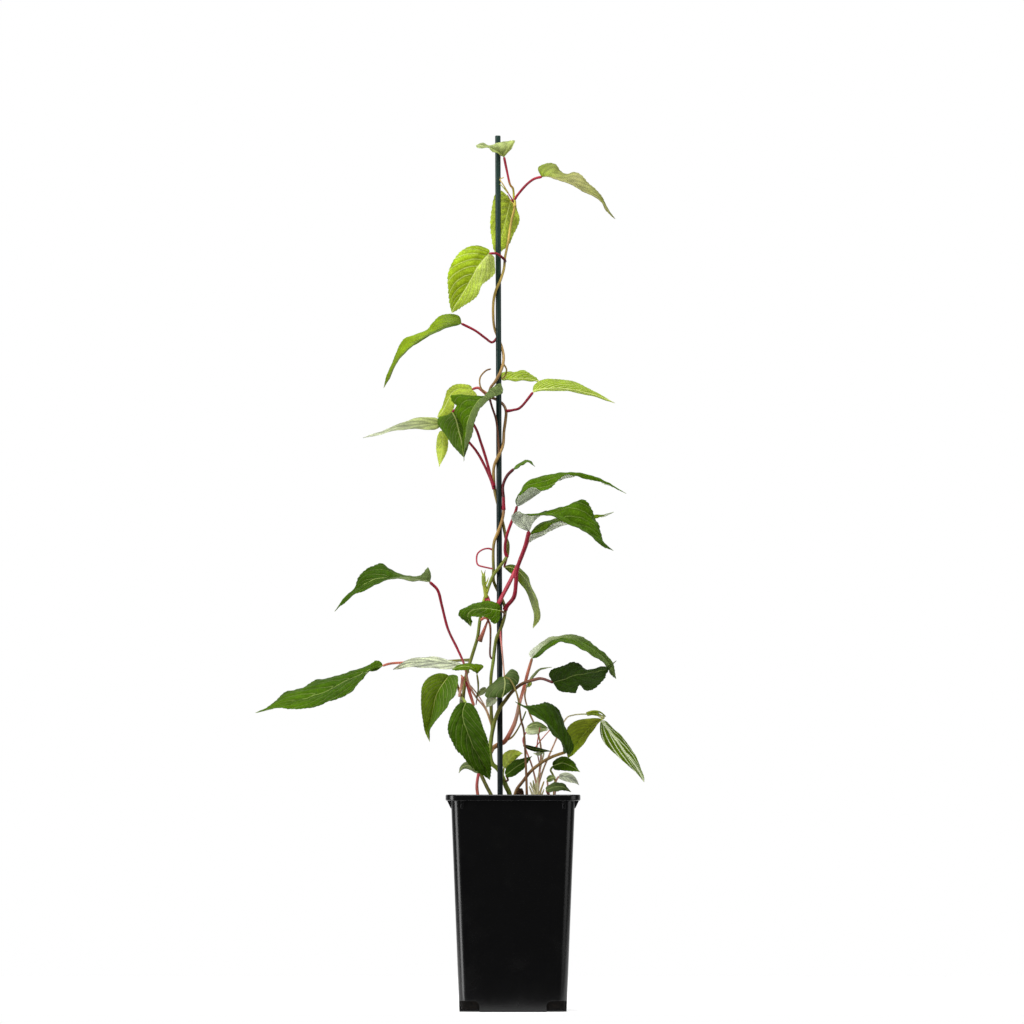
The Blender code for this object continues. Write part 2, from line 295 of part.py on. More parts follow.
# Each stem piece is its trunk and what branches from it, as radii and the points of its path. A
# branch that names a leaf goes on until it all but touches that blade's base. Those that twine
# pass the stake's left, front, right and back in turn as they climb.
STEMS = {
    "vine_main": (
        Branch(2.0, 1.2, ((-20, 6, 190), (-20, 6, 204), (-21, 6, 213), (-27, 7, 225),
                          (-34, 8, 240), (-45, 8, 265), (-50, 8, 290), (-50, 8, 310),
                          (-47, 8, 334), (-42, 8, 351), (-37, 7, 367), (-35, 6, 375),
                          (-33, 4, 390), (-29, 1, 408), (-23, -3, 427), (-18, -5.5, 437),
                          (-11, -4.5, 446), (-6, -1, 454), (-5, 0, 465), (-7, 1, 472),
                          (-10, 4, 486), (-14, 5.2, 502), (-18, 4, 518), (-19.5, 0, 535),
                          (-18.5, -4, 545), (-14, -5.5, 555), (-10, -3, 565), (-9, 0, 579),
                          (-7.5, 1, 590), (-7, 1, 599), (-10, 4.4, 606), (-17, 4.4, 611),
                          (-23.5, 0, 614), (-22.5, -3, 622), (-18, -5.2, 628), (-13, -5.4, 637),
                          (-10, -2.5, 646), (-9.5, 1, 655), (-11.5, 4, 664), (-15, 5, 673),
                          (-18.5, 3.5, 682), (-19.8, 0, 694), (-19.5, -2, 709), (-17, -4.8, 720),
                          (-12.5, -4.8, 730), (-9, -2, 742), (-8, 0, 753), (-5, 1, 768),
                          (-2, 1, 788), (2, 0, 805), (1, -1, 813))),
        Branch(0.8, 1.1, ((1, -1, 812), (0, -2, 822), (-3, -3, 826), (-6, -4, 839)), "leaf_01"),
        Branch(1.0, 1.1, ((1.5, -1, 811), (5, -3, 816), (13, -7, 825), (21, -10, 831)), "leaf_02"),
        Branch(0.9, 0.9, ((1.5, 0, 808), (0.5, 4, 811)), "leaf_03"),
        Branch(1.1, 1.0, ((-8, -1, 749), (-9, -6, 751), (-16, -10, 756)), "leaf_04"),
        Branch(1.0, 1.1, ((-15.5, 5, 673), (-21, 2, 668), (-28, -8, 672), (-38, -14, 679)), "leaf_05"),
        Branch(0.9, 0.9, ((-10, -1, 647), (-6.5, 4, 641), (-8, 8, 635)), "leaf_06"),
        Branch(1.1, 1.1, ((-7, 1, 599), (0, -1, 600), (8, -3, 603)), "leaf_07"),
        Branch(1.6, 1.0, ((-24, 0, 614), (-30, 2, 619), (-35, 3, 622.5)), "leaf_08"),
        Branch(1.1, 1.1, ((-23.5, -1, 614), (-24.4, -6, 614.5)), "leaf_09"),
        Branch(0.6, 0.5, ((-24, 0, 614), (-32, -2, 622), (-33, -3, 632), (-27.5, -4, 639), (-22, -6, 641))),
        Branch(1.1, 1.0, ((-23.5, -1, 612), (-21, -6, 603), (-17, -7, 590), (-15, -7, 572),
                          (-14, -5.5, 556))),
        Branch(1.3, 1.0, ((-19, 1, 524), (-22, 0, 532), (-26, -2, 548), (-32, -4, 567),
                          (-38, -4, 583), (-49, -3, 596), (-56, -3, 600.5)), "leaf_10"),
        Branch(1.2, 1.0, ((-19, 2, 521), (-24, 4, 535), (-34, 6, 555), (-44, 7, 568),
                          (-57, 6, 580)), "leaf_11"),
        Branch(0.7, 0.7, ((-57, 6, 580), (-65, 10, 584)), "leaf_12"),
        Branch(1.3, 1.2, ((-6, -1, 453), (-8, -4, 460), (-6, -6, 475), (2, -9, 496.5)), "leaf_14"),
        Branch(1.8, 1.5, ((-27, 0, 413), (-21, -7, 404), (-15, -8, 406), (-10, -7, 415),
                          (0, -2, 434.5), (9, 4, 454)), "leaf_16"),
        Branch(0.9, 0.9, ((-6, 0, 454), (-7, 4, 449)), "leaf_17"),
        Branch(1.6, 2.1, ((-29, 1, 408), (-27, -2, 418), (-29, -3, 426), (-29.5, -3, 435))),
        Branch(1.2, 1.0, ((-42, 8, 350), (-50, 13, 350), (-66, 18, 349), (-82, 19, 348.5),
                          (-100, 16, 348), (-110, 12, 347.5), (-118, 3, 347), (-124, -6, 346)), "leaf_20"),
        Branch(0.9, 0.9, ((-44.5, 9, 337.5), (-46, 8, 340)), "leaf_21"),
        Branch(1.2, 1.1, ((-50, 8, 308), (-54, 0, 320), (-58, -8, 330)), "leaf_23"),
        Branch(1.3, 1.1, ((-50, 8, 297), (-52, -4, 306), (-51, -18, 312)), "leaf_24"),
        Branch(1.2, 0.9, ((-33, 4, 390), (-27, 1, 392), (-23, -1, 385), (-22.5, -1, 372),
                          (-23, -1, 356), (-21.5, -2, 351))),
    ),
    "vine_second": (
        Branch(2.3, 1.5, ((-3, 8, 190), (-3, 8, 204), (-3.5, 8, 216), (-7, 8, 224),
                          (-10, 6.5, 232), (-15, 6, 241), (-21, 4, 247), (-23, 1, 258),
                          (-21.5, -3, 273), (-18.5, -5.8, 288), (-13.5, -6.4, 301), (-8, -6, 309),
                          (-1, -6, 318), (9, -9, 326), (21, -14, 330), (29, -19, 331)), "leaf_29"),
        Branch(1.5, 1.2, ((-20, -4, 281), (-21.5, -1, 294), (-22, 1, 312), (-22, 1, 332),
                          (-20, 0, 347), (-18.5, -2, 360), (-16.5, -5, 372), (-11.5, -4.8, 383),
                          (-8, -1.5, 396), (-8.5, 2, 404), (-12, 5, 413), (-16.5, 4.8, 422),
                          (-19.5, 2, 430), (-19.5, 1, 442), (-19.8, 0, 454), (-19, -2.5, 467),
                          (-15, -5.4, 478), (-10.5, -3.5, 491), (-9.3, -1, 501), (-9.5, -1, 512),
                          (-10, -1.5, 524), (-6, -3, 534)), "leaf_13"),
        Branch(1.7, 1.7, ((-9.3, -1, 500), (-9.5, -1, 514))),
        Branch(1.8, 1.7, ((-8, -1.5, 400), (-6, -3, 404), (1, -9, 413), (3, -14, 427),
                          (4, -17, 440), (12, -22, 463)), "leaf_15"),
        Branch(0.9, 0.9, ((-8.3, -2, 394), (-9, -7, 397)), "leaf_18"),
        Branch(0.7, 0.7, ((-19.5, 0, 460), (-25, -1, 461.5), (-31, -2, 460), (-35.5, -2, 456),
                          (-36.4, -2, 450), (-35, -2, 445), (-29, -1, 443), (-19.5, 0.6, 441))),
        Branch(0.8, 0.8, ((-22, 1, 305), (-20, -5, 313)), "leaf_27"),
        Branch(2.0, 1.2, ((-23, 1, 258), (-20, 5, 262), (-14, 7, 266), (-8, 5, 269), (0, 2, 283),
                          (4, 0, 295), (6.5, -2, 307), (10, -3, 319), (15, -5, 338)), "leaf_28"),
        Branch(1.0, 0.7, ((-8, 5, 269), (0, 4, 274), (8, 6, 287), (13, 6, 299))),
        Branch(1.3, 1.1, ((-20.2, -4.2, 279), (-23, -1, 289), (-28, 2, 302), (-37, 0, 313), (-44, -3, 326),
                          (-49, -4, 346), (-56, -4, 362), (-65, -4, 381), (-71, -8, 404),
                          (-75, -12, 419)), "leaf_19"),
        Branch(0.7, 0.6, ((-36.5, 0, 312), (-35, -5, 318), (-34.5, -9, 327)), "leaf_22"),
        Branch(0.8, 0.8, ((-10.5, 6, 231), (-10, 7, 236)), "leaf_36"),
        Branch(0.8, 0.8, ((-8.5, 7, 229), (-5, 0, 230)), "leaf_37"),
    ),
    "shoot_left": (
        Branch(1.5, 1.3, ((-34, -12, 190), (-34, -12, 206), (-36, -12, 224)), "leaf_25"),
    ),
    "shoot_centre": (
        Branch(1.2, 0.9, ((14, -18, 190), (14, -18, 206), (13, -21, 240), (11, -21, 277),
                          (8, -22, 290), (5.5, -23, 309), (2, -23, 321), (-3, -20, 330)), "leaf_26"),
    ),
    "shoot_arched": (
        Branch(1.4, 1.2, ((1, -12, 190), (1, -12, 206), (3, -13, 219), (10, -16, 229),
                          (19, -19, 240), (31, -20, 249), (41, -20, 254)), "leaf_31"),
    ),
    "crown_pale": (
        Branch(3.0, 2.2, ((24, 8, 190), (24, 8, 204), (24, 8, 214), (23.5, 8, 228))),
        Branch(0.9, 0.7, ((24, 8, 222), (27, 16, 243), (28, 21, 262), (24, 18, 280), (17, 12, 296),
                          (12, 6, 312)), "leaf_30"),
        Branch(1.1, 0.9, ((24, 8, 220), (30, 14, 240), (42, 20, 268), (52, 20, 290), (60, 16, 295),
                          (75, 12, 296), (88, 9, 294))),
        Branch(0.9, 0.9, ((86, 9, 294.3), (89, 7, 292.5)), "leaf_33"),
        Branch(0.9, 0.9, ((87, 9, 294.1), (91, 11, 293.5)), "leaf_32"),
        Branch(0.8, 0.6, ((23.5, 8, 226), (19, -1, 244), (13, -4, 260), (10, -2, 270)), "leaf_34"),
        Branch(0.8, 0.7, ((24, 8, 226), (28, 8, 245)), "leaf_35"),
    ),
    "shoots_right": (
        Branch(2.4, 1.8, ((40, -10, 190), (40, -10, 204), (40, -10, 208))),
        Branch(0.9, 0.9, ((40, -10, 205), (41, -8, 219), (42, -5, 229), (39, -4, 237),
                          (37.5, -4, 240)), "leaf_38"),
        Branch(0.8, 0.8, ((40, -10, 206), (42, -13, 218), (43, -14.6, 229)), "leaf_39"),
        Branch(0.8, 0.8, ((40, -10, 206), (36, -13, 216)), "leaf_40"),
        Branch(0.9, 0.9, ((40, -10, 206), (38, -20, 211), (35, -26, 216)), "leaf_41"),
    ),
}

TONES = {
    "young": (0.42, 0.56, 0.12),
    "fresh": (0.20, 0.36, 0.08),
    "mature": (0.06, 0.15, 0.05),
    "pale": (0.55, 0.66, 0.45),
}
STEM_COLOURS = {
    "vine_main": (0.45, 0.33, 0.14),
    "vine_second": (0.36, 0.30, 0.12),
    "shoot_left": (0.70, 0.30, 0.25),
    "shoot_centre": (0.36, 0.20, 0.12),
    "shoot_arched": (0.36, 0.20, 0.12),
    "crown_pale": (0.70, 0.62, 0.36),
    "shoots_right": (0.55, 0.40, 0.28),
}


def clear_scene():
    for item in list(bpy.data.objects):
        bpy.data.objects.remove(item, do_unlink=True)


def collection_named(name):
    group = bpy.data.collections.new(name)
    bpy.context.scene.collection.children.link(group)
    return group


def material(name, colour, roughness):
    finish = bpy.data.materials.new(name)
    finish.use_nodes = True
    shader = finish.node_tree.nodes["Principled BSDF"]
    shader.inputs["Base Color"].default_value = (*colour, 1.0)
    shader.inputs["Roughness"].default_value = roughness
    shader.inputs["Metallic"].default_value = 0.0
    return finish


def place_object(name, data, group, finish=None):
    item = bpy.data.objects.new(name, data)
    group.objects.link(item)
    if finish:
        data.materials.append(finish)
    return item


def evaluated_mesh(item):
    graph = bpy.context.evaluated_depsgraph_get()
    return bpy.data.meshes.new_from_object(item.evaluated_get(graph))


def edited(mesh, edit):
    """The mesh after one edit of it as a bmesh."""
    work = bmesh.new()
    work.from_mesh(mesh)
    edit(work)
    work.to_mesh(mesh)
    work.free()
    return mesh


def union(item, others, solver="EXACT"):
    """The others become part of the item, by one Boolean that is applied."""
    joining = collection_named("joining")
    for other in others:
        for group in list(other.users_collection):
            group.objects.unlink(other)
        joining.objects.link(other)
    modifier = item.modifiers.new("Union", "BOOLEAN")
    modifier.operation = "UNION"
    modifier.solver = solver
    modifier.operand_type = "COLLECTION"
    modifier.collection = joining
    mesh = evaluated_mesh(item)
    item.modifiers.clear()
    item.data = mesh
    for other in others:
        bpy.data.objects.remove(other, do_unlink=True)
    bpy.data.collections.remove(joining)


def cut(item, cutter):
    cutter.hide_render = True
    cutter.display_type = "WIRE"
    modifier = item.modifiers.new("Cut", "BOOLEAN")
    modifier.operation = "DIFFERENCE"
    modifier.object = cutter


def spline_points(points, step):
    """Points about a step apart on the smooth curve through the given ones."""
    knots = [Vector(point) for point in points]
    knots = [2 * knots[0] - knots[1], *knots, 2 * knots[-1] - knots[-2]]
    found = []
    for before, start, end, after in zip(knots, knots[1:], knots[2:], knots[3:]):
        count = max(1, round((end - start).length / step))
        for index in range(count):
            t = index / count
            found.append(0.5 * (2 * start + (end - before) * t
                                + (2 * before - 5 * start + 4 * end - after) * t * t
                                + (3 * start - before - 3 * end + after) * t ** 3))
    return [*found, knots[-2]]


def along(path, share):
    """The point and direction at a share of a path's length."""
    lengths = [(end - start).length for start, end in zip(path, path[1:])]
    left = share * sum(lengths)
    for start, end, length in zip(path, path[1:], lengths):
        if left <= length or end is path[-1]:
            return start.lerp(end, left / length), (end - start).normalized()
        left -= length
    return path[-1], (path[-1] - path[-2]).normalized()


def petiole_end(branch):
    """The point nearest its leaf's base where a petiole still clears the blade by the gap."""
    blade_tree = BVHTree.FromObject(bpy.data.objects[branch.leaf],
                                    bpy.context.evaluated_depsgraph_get())
    base = Vector(next(leaf.spine[0] for leaf in LEAVES if leaf.name == branch.leaf))
    last = Vector(branch.points[-1])
    forward = (base - last).normalized()
    across = forward.orthogonal().normalized()
    around = [Matrix.Rotation(math.tau * index / PETIOLE_SIDES, 3, forward) @ across
              for index in range(PETIOLE_SIDES)]
    skin = [side * branch.radius_to * share - forward * behind
            for side in around for share in PETIOLE_SHARES for behind in PETIOLE_BEHIND]
    reach = (base - last).length
    while any(blade_tree.find_nearest((last + forward * reach + offset) * MM)[3] < GAP * MM
              for offset in skin):
        reach -= PETIOLE_STEP
    return last + forward * reach


def tube(name, branch, group):
    """A round stem along a branch's path, thinning from one radius to the other."""
    points = [*branch.points, petiole_end(branch)] if branch.leaf else branch.points
    path = spline_points(points, STEM_STEP)
    curve = bpy.data.curves.new(name, "CURVE")
    curve.dimensions = "3D"
    curve.bevel_depth = MM
    curve.bevel_resolution = TUBE_ROUNDNESS
    curve.use_fill_caps = True
    spline = curve.splines.new("POLY")
    spline.points.add(len(path) - 1)
    for index, (knot, place) in enumerate(zip(spline.points, path)):
        share = index / (len(path) - 1)
        knot.co = (*(place * MM), 1.0)
        knot.radius = branch.radius_from + (branch.radius_to - branch.radius_from) * share
    wire = place_object(name + "_wire", curve, group)
    mesh = evaluated_mesh(wire)
    bpy.data.objects.remove(wire, do_unlink=True)
    edited(mesh, lambda work: bmesh.ops.remove_doubles(work, verts=work.verts, dist=MERGE))
    return place_object(name, mesh, group)


def build_stems(group):
    for name, branches in STEMS.items():
        tubes = [tube(f"{name}_{index}", branch, group) for index, branch in enumerate(branches)]
        trunk = tubes[0]
        if len(tubes) > 1:
            union(trunk, tubes[1:])
        trunk.name = name
        trunk.data.materials.clear()
        trunk.data.materials.append(material(name, STEM_COLOURS[name], 0.55))
        trunk.data.shade_smooth()


def half_width(share, peak):
    """How wide an ovate blade with a drawn-out tip is there, as a share of its widest."""
    if share < peak:
        return math.sin(math.pi / 2 * (share / peak) ** BASE_FULLNESS)
    return max(0.0, math.cos(math.pi / 2 * (share - peak) / (1 - peak))) ** TIP_DRAWN_OUT


def slope_at(slopes, share):
    """The slope at a share of the length, between values given at even steps."""
    place = min(max(share, 0.0), 1.0) * (len(slopes) - 1)
    index = min(int(place), len(slopes) - 2)
    ease = place - index
    ease = ease * ease * (3 - 2 * ease)
    return math.radians(slopes[index] + (slopes[index + 1] - slopes[index]) * ease)


def blade_point(leaf, path, across, share):
    """A point of the blade: across is -1 at the left margin, 0 on the midrib, 1 at the right."""
    place, forward = along(path, share)
    sideways = forward.cross(Vector((0, -1, 0))).normalized()
    towards = sideways.cross(forward).normalized()
    side = 1 if across > 0 else -1
    width, *slopes = leaf.right if side > 0 else leaf.left
    angle = slope_at(slopes, share) + math.radians(MARGIN_CURL) * abs(across) / 2
    reach = width * half_width(share, leaf.peak) * abs(across)
    sweep = leaf.lobe * max(0.0, 1 - share / LOBE_END) ** 2 * reach
    return place - sweep * forward + reach * (side * math.cos(angle) * sideways
                                              + math.sin(angle) * towards)


def drawn_point(leaf, path, across, share):
    """The same, of a blade whose halves are points that its margins pass."""
    place, forward = along(path, share ** FAN)
    half = leaf.right if across > 0 else leaf.left
    edge, _ = along(spline_points((leaf.spine[0], *half, leaf.spine[-1]), SPINE_STEP), share)
    reach = edge - place
    up = reach.cross(forward) if across > 0 else forward.cross(reach)
    arch = 4 * ARCH * reach.length * abs(across) * (1 - abs(across))
    return place + reach * abs(across) + up.normalized() * arch


def blade(leaf, group):
    """A thin toothed blade: a grid laid along the midrib, given its thickness."""
    drawn = isinstance(leaf.right[0], tuple)
    small = not drawn and max(leaf.right[0], leaf.left[0]) < LARGE_BLADE
    columns, rows = DRAWN_GRID if drawn else SMALL_GRID if small else LARGE_GRID
    point = drawn_point if drawn else blade_point
    path = spline_points(leaf.spine, SPINE_STEP)
    work = bmesh.new()
    bmesh.ops.create_grid(work, x_segments=columns, y_segments=rows, size=1.0)
    for vertex in work.verts:
        across, share = vertex.co.x, (vertex.co.y + 1) / 2
        if abs(across) > ON_MARGIN:
            across *= 1 + MARGIN_TOOTH * (1 if round(share * rows) % 2 else -1)
        vertex.co = point(leaf, path, across, share) * MM
    bmesh.ops.remove_doubles(work, verts=work.verts, dist=MERGE)
    bmesh.ops.triangulate(work, faces=work.faces)
    mesh = bpy.data.meshes.new(leaf.name)
    work.to_mesh(mesh)
    work.free()
    item = place_object(leaf.name, mesh, group, bpy.data.materials["leaf_" + leaf.tone])
    wall = item.modifiers.new("Thickness", "SOLIDIFY")
    wall.thickness = BLADE_THICK * MM
    wall.offset = 0.0


def build_leaves(group):
    for tone, colour in TONES.items():
        material("leaf_" + tone, colour, 0.45)
    for leaf in LEAVES:
        blade(leaf, group)


def square_block(name, group, bottom, top, half_bottom, half_top, corner):
    """A tapered square block with rounded upright edges."""
    mesh = bpy.data.meshes.new(name)
    work = bmesh.new()
    bmesh.ops.create_cube(work, size=2.0)
    for vertex in work.verts:
        half, height = (half_top, top) if vertex.co.z > 0 else (half_bottom, bottom)
        vertex.co = Vector((vertex.co.x * half, vertex.co.y * half, height)) * MM
    upright = [edge for edge in work.edges if abs(edge.verts[0].co.z - edge.verts[1].co.z) > MM]
    bmesh.ops.bevel(work, geom=upright, offset=corner * MM, segments=CORNER_STEPS, profile=0.5,
                    affect="EDGES", clamp_overlap=True)
    bmesh.ops.recalc_face_normals(work, faces=work.faces)
    work.to_mesh(mesh)
    work.free()
    return place_object(name, mesh, group)


def pot_half(height):
    return POT_BASE_HALF + (POT_TOP_HALF - POT_BASE_HALF) * height / (POT_HEIGHT - RIM_BAND)


def build_pot(group, cutters):
    wall_top = POT_HEIGHT - RIM_BAND
    body_top = POT_HEIGHT - RIM_BAND / 4
    pot = square_block("pot", group, 0, body_top, POT_BASE_HALF, pot_half(body_top), POT_CORNER)
    pieces = [square_block("rim", group, wall_top, POT_HEIGHT, RIM_HALF, RIM_HALF, RIM_CORNER)]
    pieces += [gusset(side_x, side_y, along_x, group)
               for side_x in (-1, 1) for side_y in (-1, 1) for along_x in (True, False)]
    union(pot, pieces)
    above = POT_HEIGHT + CLEAR
    cut(pot, square_block("pot_inside", cutters, POT_FLOOR, above, pot_half(POT_FLOOR) - POT_WALL,
                          pot_half(above) - POT_WALL, POT_CORNER - POT_WALL))
    for side_x in (-1, 1):
        for side_y in (-1, 1):
            cut(pot, drain(side_x, side_y, cutters))
    pot.data.materials.clear()
    pot.data.materials.append(material("pot", (0.012, 0.012, 0.014), 0.35))


def gusset(side_x, side_y, along_x, group):
    """A small web under the rim near a corner."""
    bpy.ops.mesh.primitive_cube_add(size=1.0)
    web = bpy.context.object
    web.name = "gusset"
    for holder in list(web.users_collection):
        holder.objects.unlink(web)
    group.objects.link(web)
    out = (POT_TOP_HALF + RIM_HALF) / 2 - GUSSET_SUNK
    reach = RIM_HALF - POT_TOP_HALF
    place = (POT_TOP_HALF - GUSSET_FROM_CORNER, out)
    size = (GUSSET_THICK, reach)
    if not along_x:
        place, size = place[::-1], size[::-1]
    middle = POT_HEIGHT - RIM_BAND - GUSSET_DROP / 2 + GUSSET_SUNK
    for vertex in web.data.vertices:
        low = vertex.co.z < 0
        x = place[0] + vertex.co.x * size[0]
        y = place[1] + vertex.co.y * size[1]
        if low and not along_x:
            x = min(x, POT_TOP_HALF + GUSSET_TOE)
        if low and along_x:
            y = min(y, POT_TOP_HALF + GUSSET_TOE)
        vertex.co = Vector((side_x * x, side_y * y, middle + vertex.co.z * GUSSET_DROP)) * MM
    edited(web.data, lambda work: bmesh.ops.recalc_face_normals(work, faces=work.faces))
    return web


def drain(side_x, side_y, cutters):
    """The block that opens a bottom corner, with its upper edges rounded."""
    mesh = bpy.data.meshes.new("drain")
    work = bmesh.new()
    bmesh.ops.create_cube(work, size=2.0)
    for vertex in work.verts:
        vertex.co = Vector((side_x * POT_BASE_HALF + vertex.co.x * DRAIN_SIDE,
                            side_y * POT_BASE_HALF + vertex.co.y * DRAIN_SIDE,
                            DRAIN_HEIGHT if vertex.co.z > 0 else -CLEAR)) * MM
    top = [edge for edge in work.edges
           if all(vertex.co.z > 0 for vertex in edge.verts)]
    bmesh.ops.bevel(work, geom=top, offset=DRAIN_ROUND * MM, segments=DRAIN_STEPS, profile=0.5,
                    affect="EDGES")
    bmesh.ops.recalc_face_normals(work, faces=work.faces)
    work.to_mesh(mesh)
    work.free()
    return place_object("drain", mesh, cutters)


def upright_cylinder(name, x, y, bottom, top, radius, sides, group):
    mesh = bpy.data.meshes.new(name)
    work = bmesh.new()
    bmesh.ops.create_cone(work, cap_ends=True, segments=sides, radius1=radius * MM,
                          radius2=radius * MM, depth=(top - bottom) * MM)
    bmesh.ops.translate(work, verts=work.verts, vec=Vector((x, y, (top + bottom) / 2)) * MM)
    work.to_mesh(mesh)
    work.free()
    return place_object(name, mesh, group)


def build_stake(group):
    stake = upright_cylinder("stake", 0, 0, STAKE_FOOT, STAKE_TOP, STAKE_RADIUS, STAKE_SIDES, group)
    for vertex in stake.data.vertices:
        vertex.co.x += stake_x(vertex.co.z / MM) * MM
    stake.data.materials.append(material("stake", (0.02, 0.09, 0.10), 0.4))
    stake.data.shade_smooth()
    stake.data.set_sharp_from_angle(angle=SHARP_EDGE)


def stake_x(height):
    share = (height - SOIL_LEVEL) / (STAKE_TOP - SOIL_LEVEL)
    return STAKE_AT_SOIL + (STAKE_AT_TOP - STAKE_AT_SOIL) * share


def soil_height(x, y):
    return SOIL_LEVEL + SOIL_BUMP * (math.sin(0.17 * x + 1.0) * math.cos(0.13 * y)
                                     + 0.6 * math.sin(0.31 * x - 0.27 * y))


def build_soil(group, cutters):
    """Potting soil to just under the rim, with a plain hole for each thing that stands in it."""
    floor = POT_FLOOR + GAP
    soil = square_block("soil", group, floor, SOIL_LEVEL, pot_half(floor) - POT_WALL - GAP,
                        pot_half(SOIL_LEVEL) - POT_WALL - GAP, POT_CORNER - POT_WALL)
    half = (pot_half(SOIL_LEVEL) - POT_WALL - GAP) * MM

    def uneven(work):
        for axis in range(2):
            for index in range(1, SOIL_CELLS):
                normal = Vector((1, 0, 0)) if axis == 0 else Vector((0, 1, 0))
                place = normal * (half * (2 * index / SOIL_CELLS - 1))
                top = [face for face in work.faces if face.normal.z > 0.5]
                edges = {edge for face in top for edge in face.edges}
                corners = {vertex for face in top for vertex in face.verts}
                bmesh.ops.bisect_plane(work, geom=[*corners, *edges, *top], plane_co=place,
                                       plane_no=normal)
        for vertex in work.verts:
            if vertex.co.z > SOIL_LEVEL / 2 * MM:
                x, y = vertex.co.x / MM, vertex.co.y / MM
                inner = 1 - min(1, max(abs(x), abs(y)) * MM / half) ** SOIL_EDGE_FLAT
                vertex.co.z += (soil_height(x, y) - SOIL_LEVEL) * inner * MM

    edited(soil.data, uneven)
    above = SOIL_LEVEL + CLEAR
    middle = (STAKE_FOOT + SOIL_LEVEL) / 2
    cut(soil, upright_cylinder("stake_hole", stake_x(middle), 0, STAKE_FOOT - GAP, above,
                               STAKE_RADIUS + 2 * GAP, HOLE_SIDES, cutters))
    for name, branches in STEMS.items():
        x, y, _ = branches[0].points[0]
        cut(soil, upright_cylinder(name + "_hole", x, y, SOIL_LEVEL - HOLE_DEPTH, above,
                                   branches[0].radius_from + 2 * GAP, HOLE_SIDES, cutters))
    soil.data.materials.append(material("soil", (0.07, 0.045, 0.03), 0.95))


def build_bark(group):
    """A curled scrap of bark that lies on the soil."""
    scrap = Leaf("bark", "bark", ((3, 24, 199.9), (5, 25, 213.5), (7, 26, 227.6)),
                 (6, -30, 50), (5, 30, -40), 0.6)
    path = spline_points(scrap.spine, SPINE_STEP)
    columns, rows = BARK_GRID
    work = bmesh.new()
    bmesh.ops.create_grid(work, x_segments=columns, y_segments=rows, size=1.0)
    for vertex in work.verts:
        share = BARK_FROM + BARK_LENGTH * (vertex.co.y + 1) / 2
        vertex.co = blade_point(scrap, path, vertex.co.x, share) * MM
    bmesh.ops.triangulate(work, faces=work.faces)
    mesh = bpy.data.meshes.new("bark")
    work.to_mesh(mesh)
    work.free()
    item = place_object("bark", mesh, group, material("bark", (0.16, 0.08, 0.05), 0.9))
    wall = item.modifiers.new("Thickness", "SOLIDIFY")
    wall.thickness = BARK_THICK * MM
    wall.offset = 0.0


def main():
    clear_scene()
    parts = collection_named("potted_kiwi_vine")
    cutters = collection_named("cutters")
    cutters.hide_render = True
    build_pot(parts, cutters)
    build_stake(parts)
    build_soil(parts, cutters)
    build_bark(parts)
    build_leaves(parts)
    build_stems(parts)


main()
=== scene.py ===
"""The look of a potted young kiwi vine: fine leaves, stems, pot, soil, stake and bark.

Sizes and places are in millimetres in the frame of the part, and MM turns them into metres. The
vine is looked at along +Y. The scales of speckles and cells are in steps to a metre.
"""

import math
import random
from collections import namedtuple

import bpy
from mathutils import Euler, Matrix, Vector, noise
from mathutils.kdtree import KDTree


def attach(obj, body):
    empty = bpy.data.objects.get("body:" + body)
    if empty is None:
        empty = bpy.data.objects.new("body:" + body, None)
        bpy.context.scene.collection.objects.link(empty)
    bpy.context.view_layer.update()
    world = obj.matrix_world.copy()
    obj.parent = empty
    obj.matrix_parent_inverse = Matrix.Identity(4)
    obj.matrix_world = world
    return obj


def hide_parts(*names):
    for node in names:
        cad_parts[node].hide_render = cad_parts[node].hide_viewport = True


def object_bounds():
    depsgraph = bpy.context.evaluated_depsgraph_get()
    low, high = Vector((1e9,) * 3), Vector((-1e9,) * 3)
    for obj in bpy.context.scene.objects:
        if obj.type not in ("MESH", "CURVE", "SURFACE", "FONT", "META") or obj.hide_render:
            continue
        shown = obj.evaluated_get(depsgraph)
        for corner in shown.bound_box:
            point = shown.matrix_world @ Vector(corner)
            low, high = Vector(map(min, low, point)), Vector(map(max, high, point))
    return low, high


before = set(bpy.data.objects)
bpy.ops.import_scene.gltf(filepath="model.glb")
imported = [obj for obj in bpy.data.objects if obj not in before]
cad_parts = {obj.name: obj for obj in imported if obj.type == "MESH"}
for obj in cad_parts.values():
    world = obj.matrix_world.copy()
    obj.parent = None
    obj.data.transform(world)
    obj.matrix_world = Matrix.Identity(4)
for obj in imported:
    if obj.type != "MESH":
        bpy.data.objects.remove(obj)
cad_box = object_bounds()

MM = 0.001
WHITE = (1.0, 1.0, 1.0, 1.0)
CORNERS = ((-1, -1), (-1, 1), (1, -1), (1, 1))

# The pot, the stake and the level of the soil, as in the part.
POT_HEIGHT = 215.6
POT_BASE_HALF = 53.3
POT_TOP_HALF = 61.5
POT_CORNER = 9.0
POT_WALL = 1.6
POT_FLOOR = 2.4
RIM_HALF = 66.9
RIM_BAND = 6.2
RIM_CORNER = 12.0
GUSSET_DROP = 8.4
GUSSET_THICK = 2.0
GUSSET_FROM_CORNER = 11.0
GUSSET_FOOT = 0.4
DRAIN_SIDE = 20.0
DRAIN_HEIGHT = 11.0
SOIL_LEVEL = 204.0
STAKE_RADIUS = 2.75
STAKE_FOOT = 62.0
STAKE_TOP = 875.3
STAKE_AT_SOIL = -12.8
STAKE_AT_TOP = -15.2

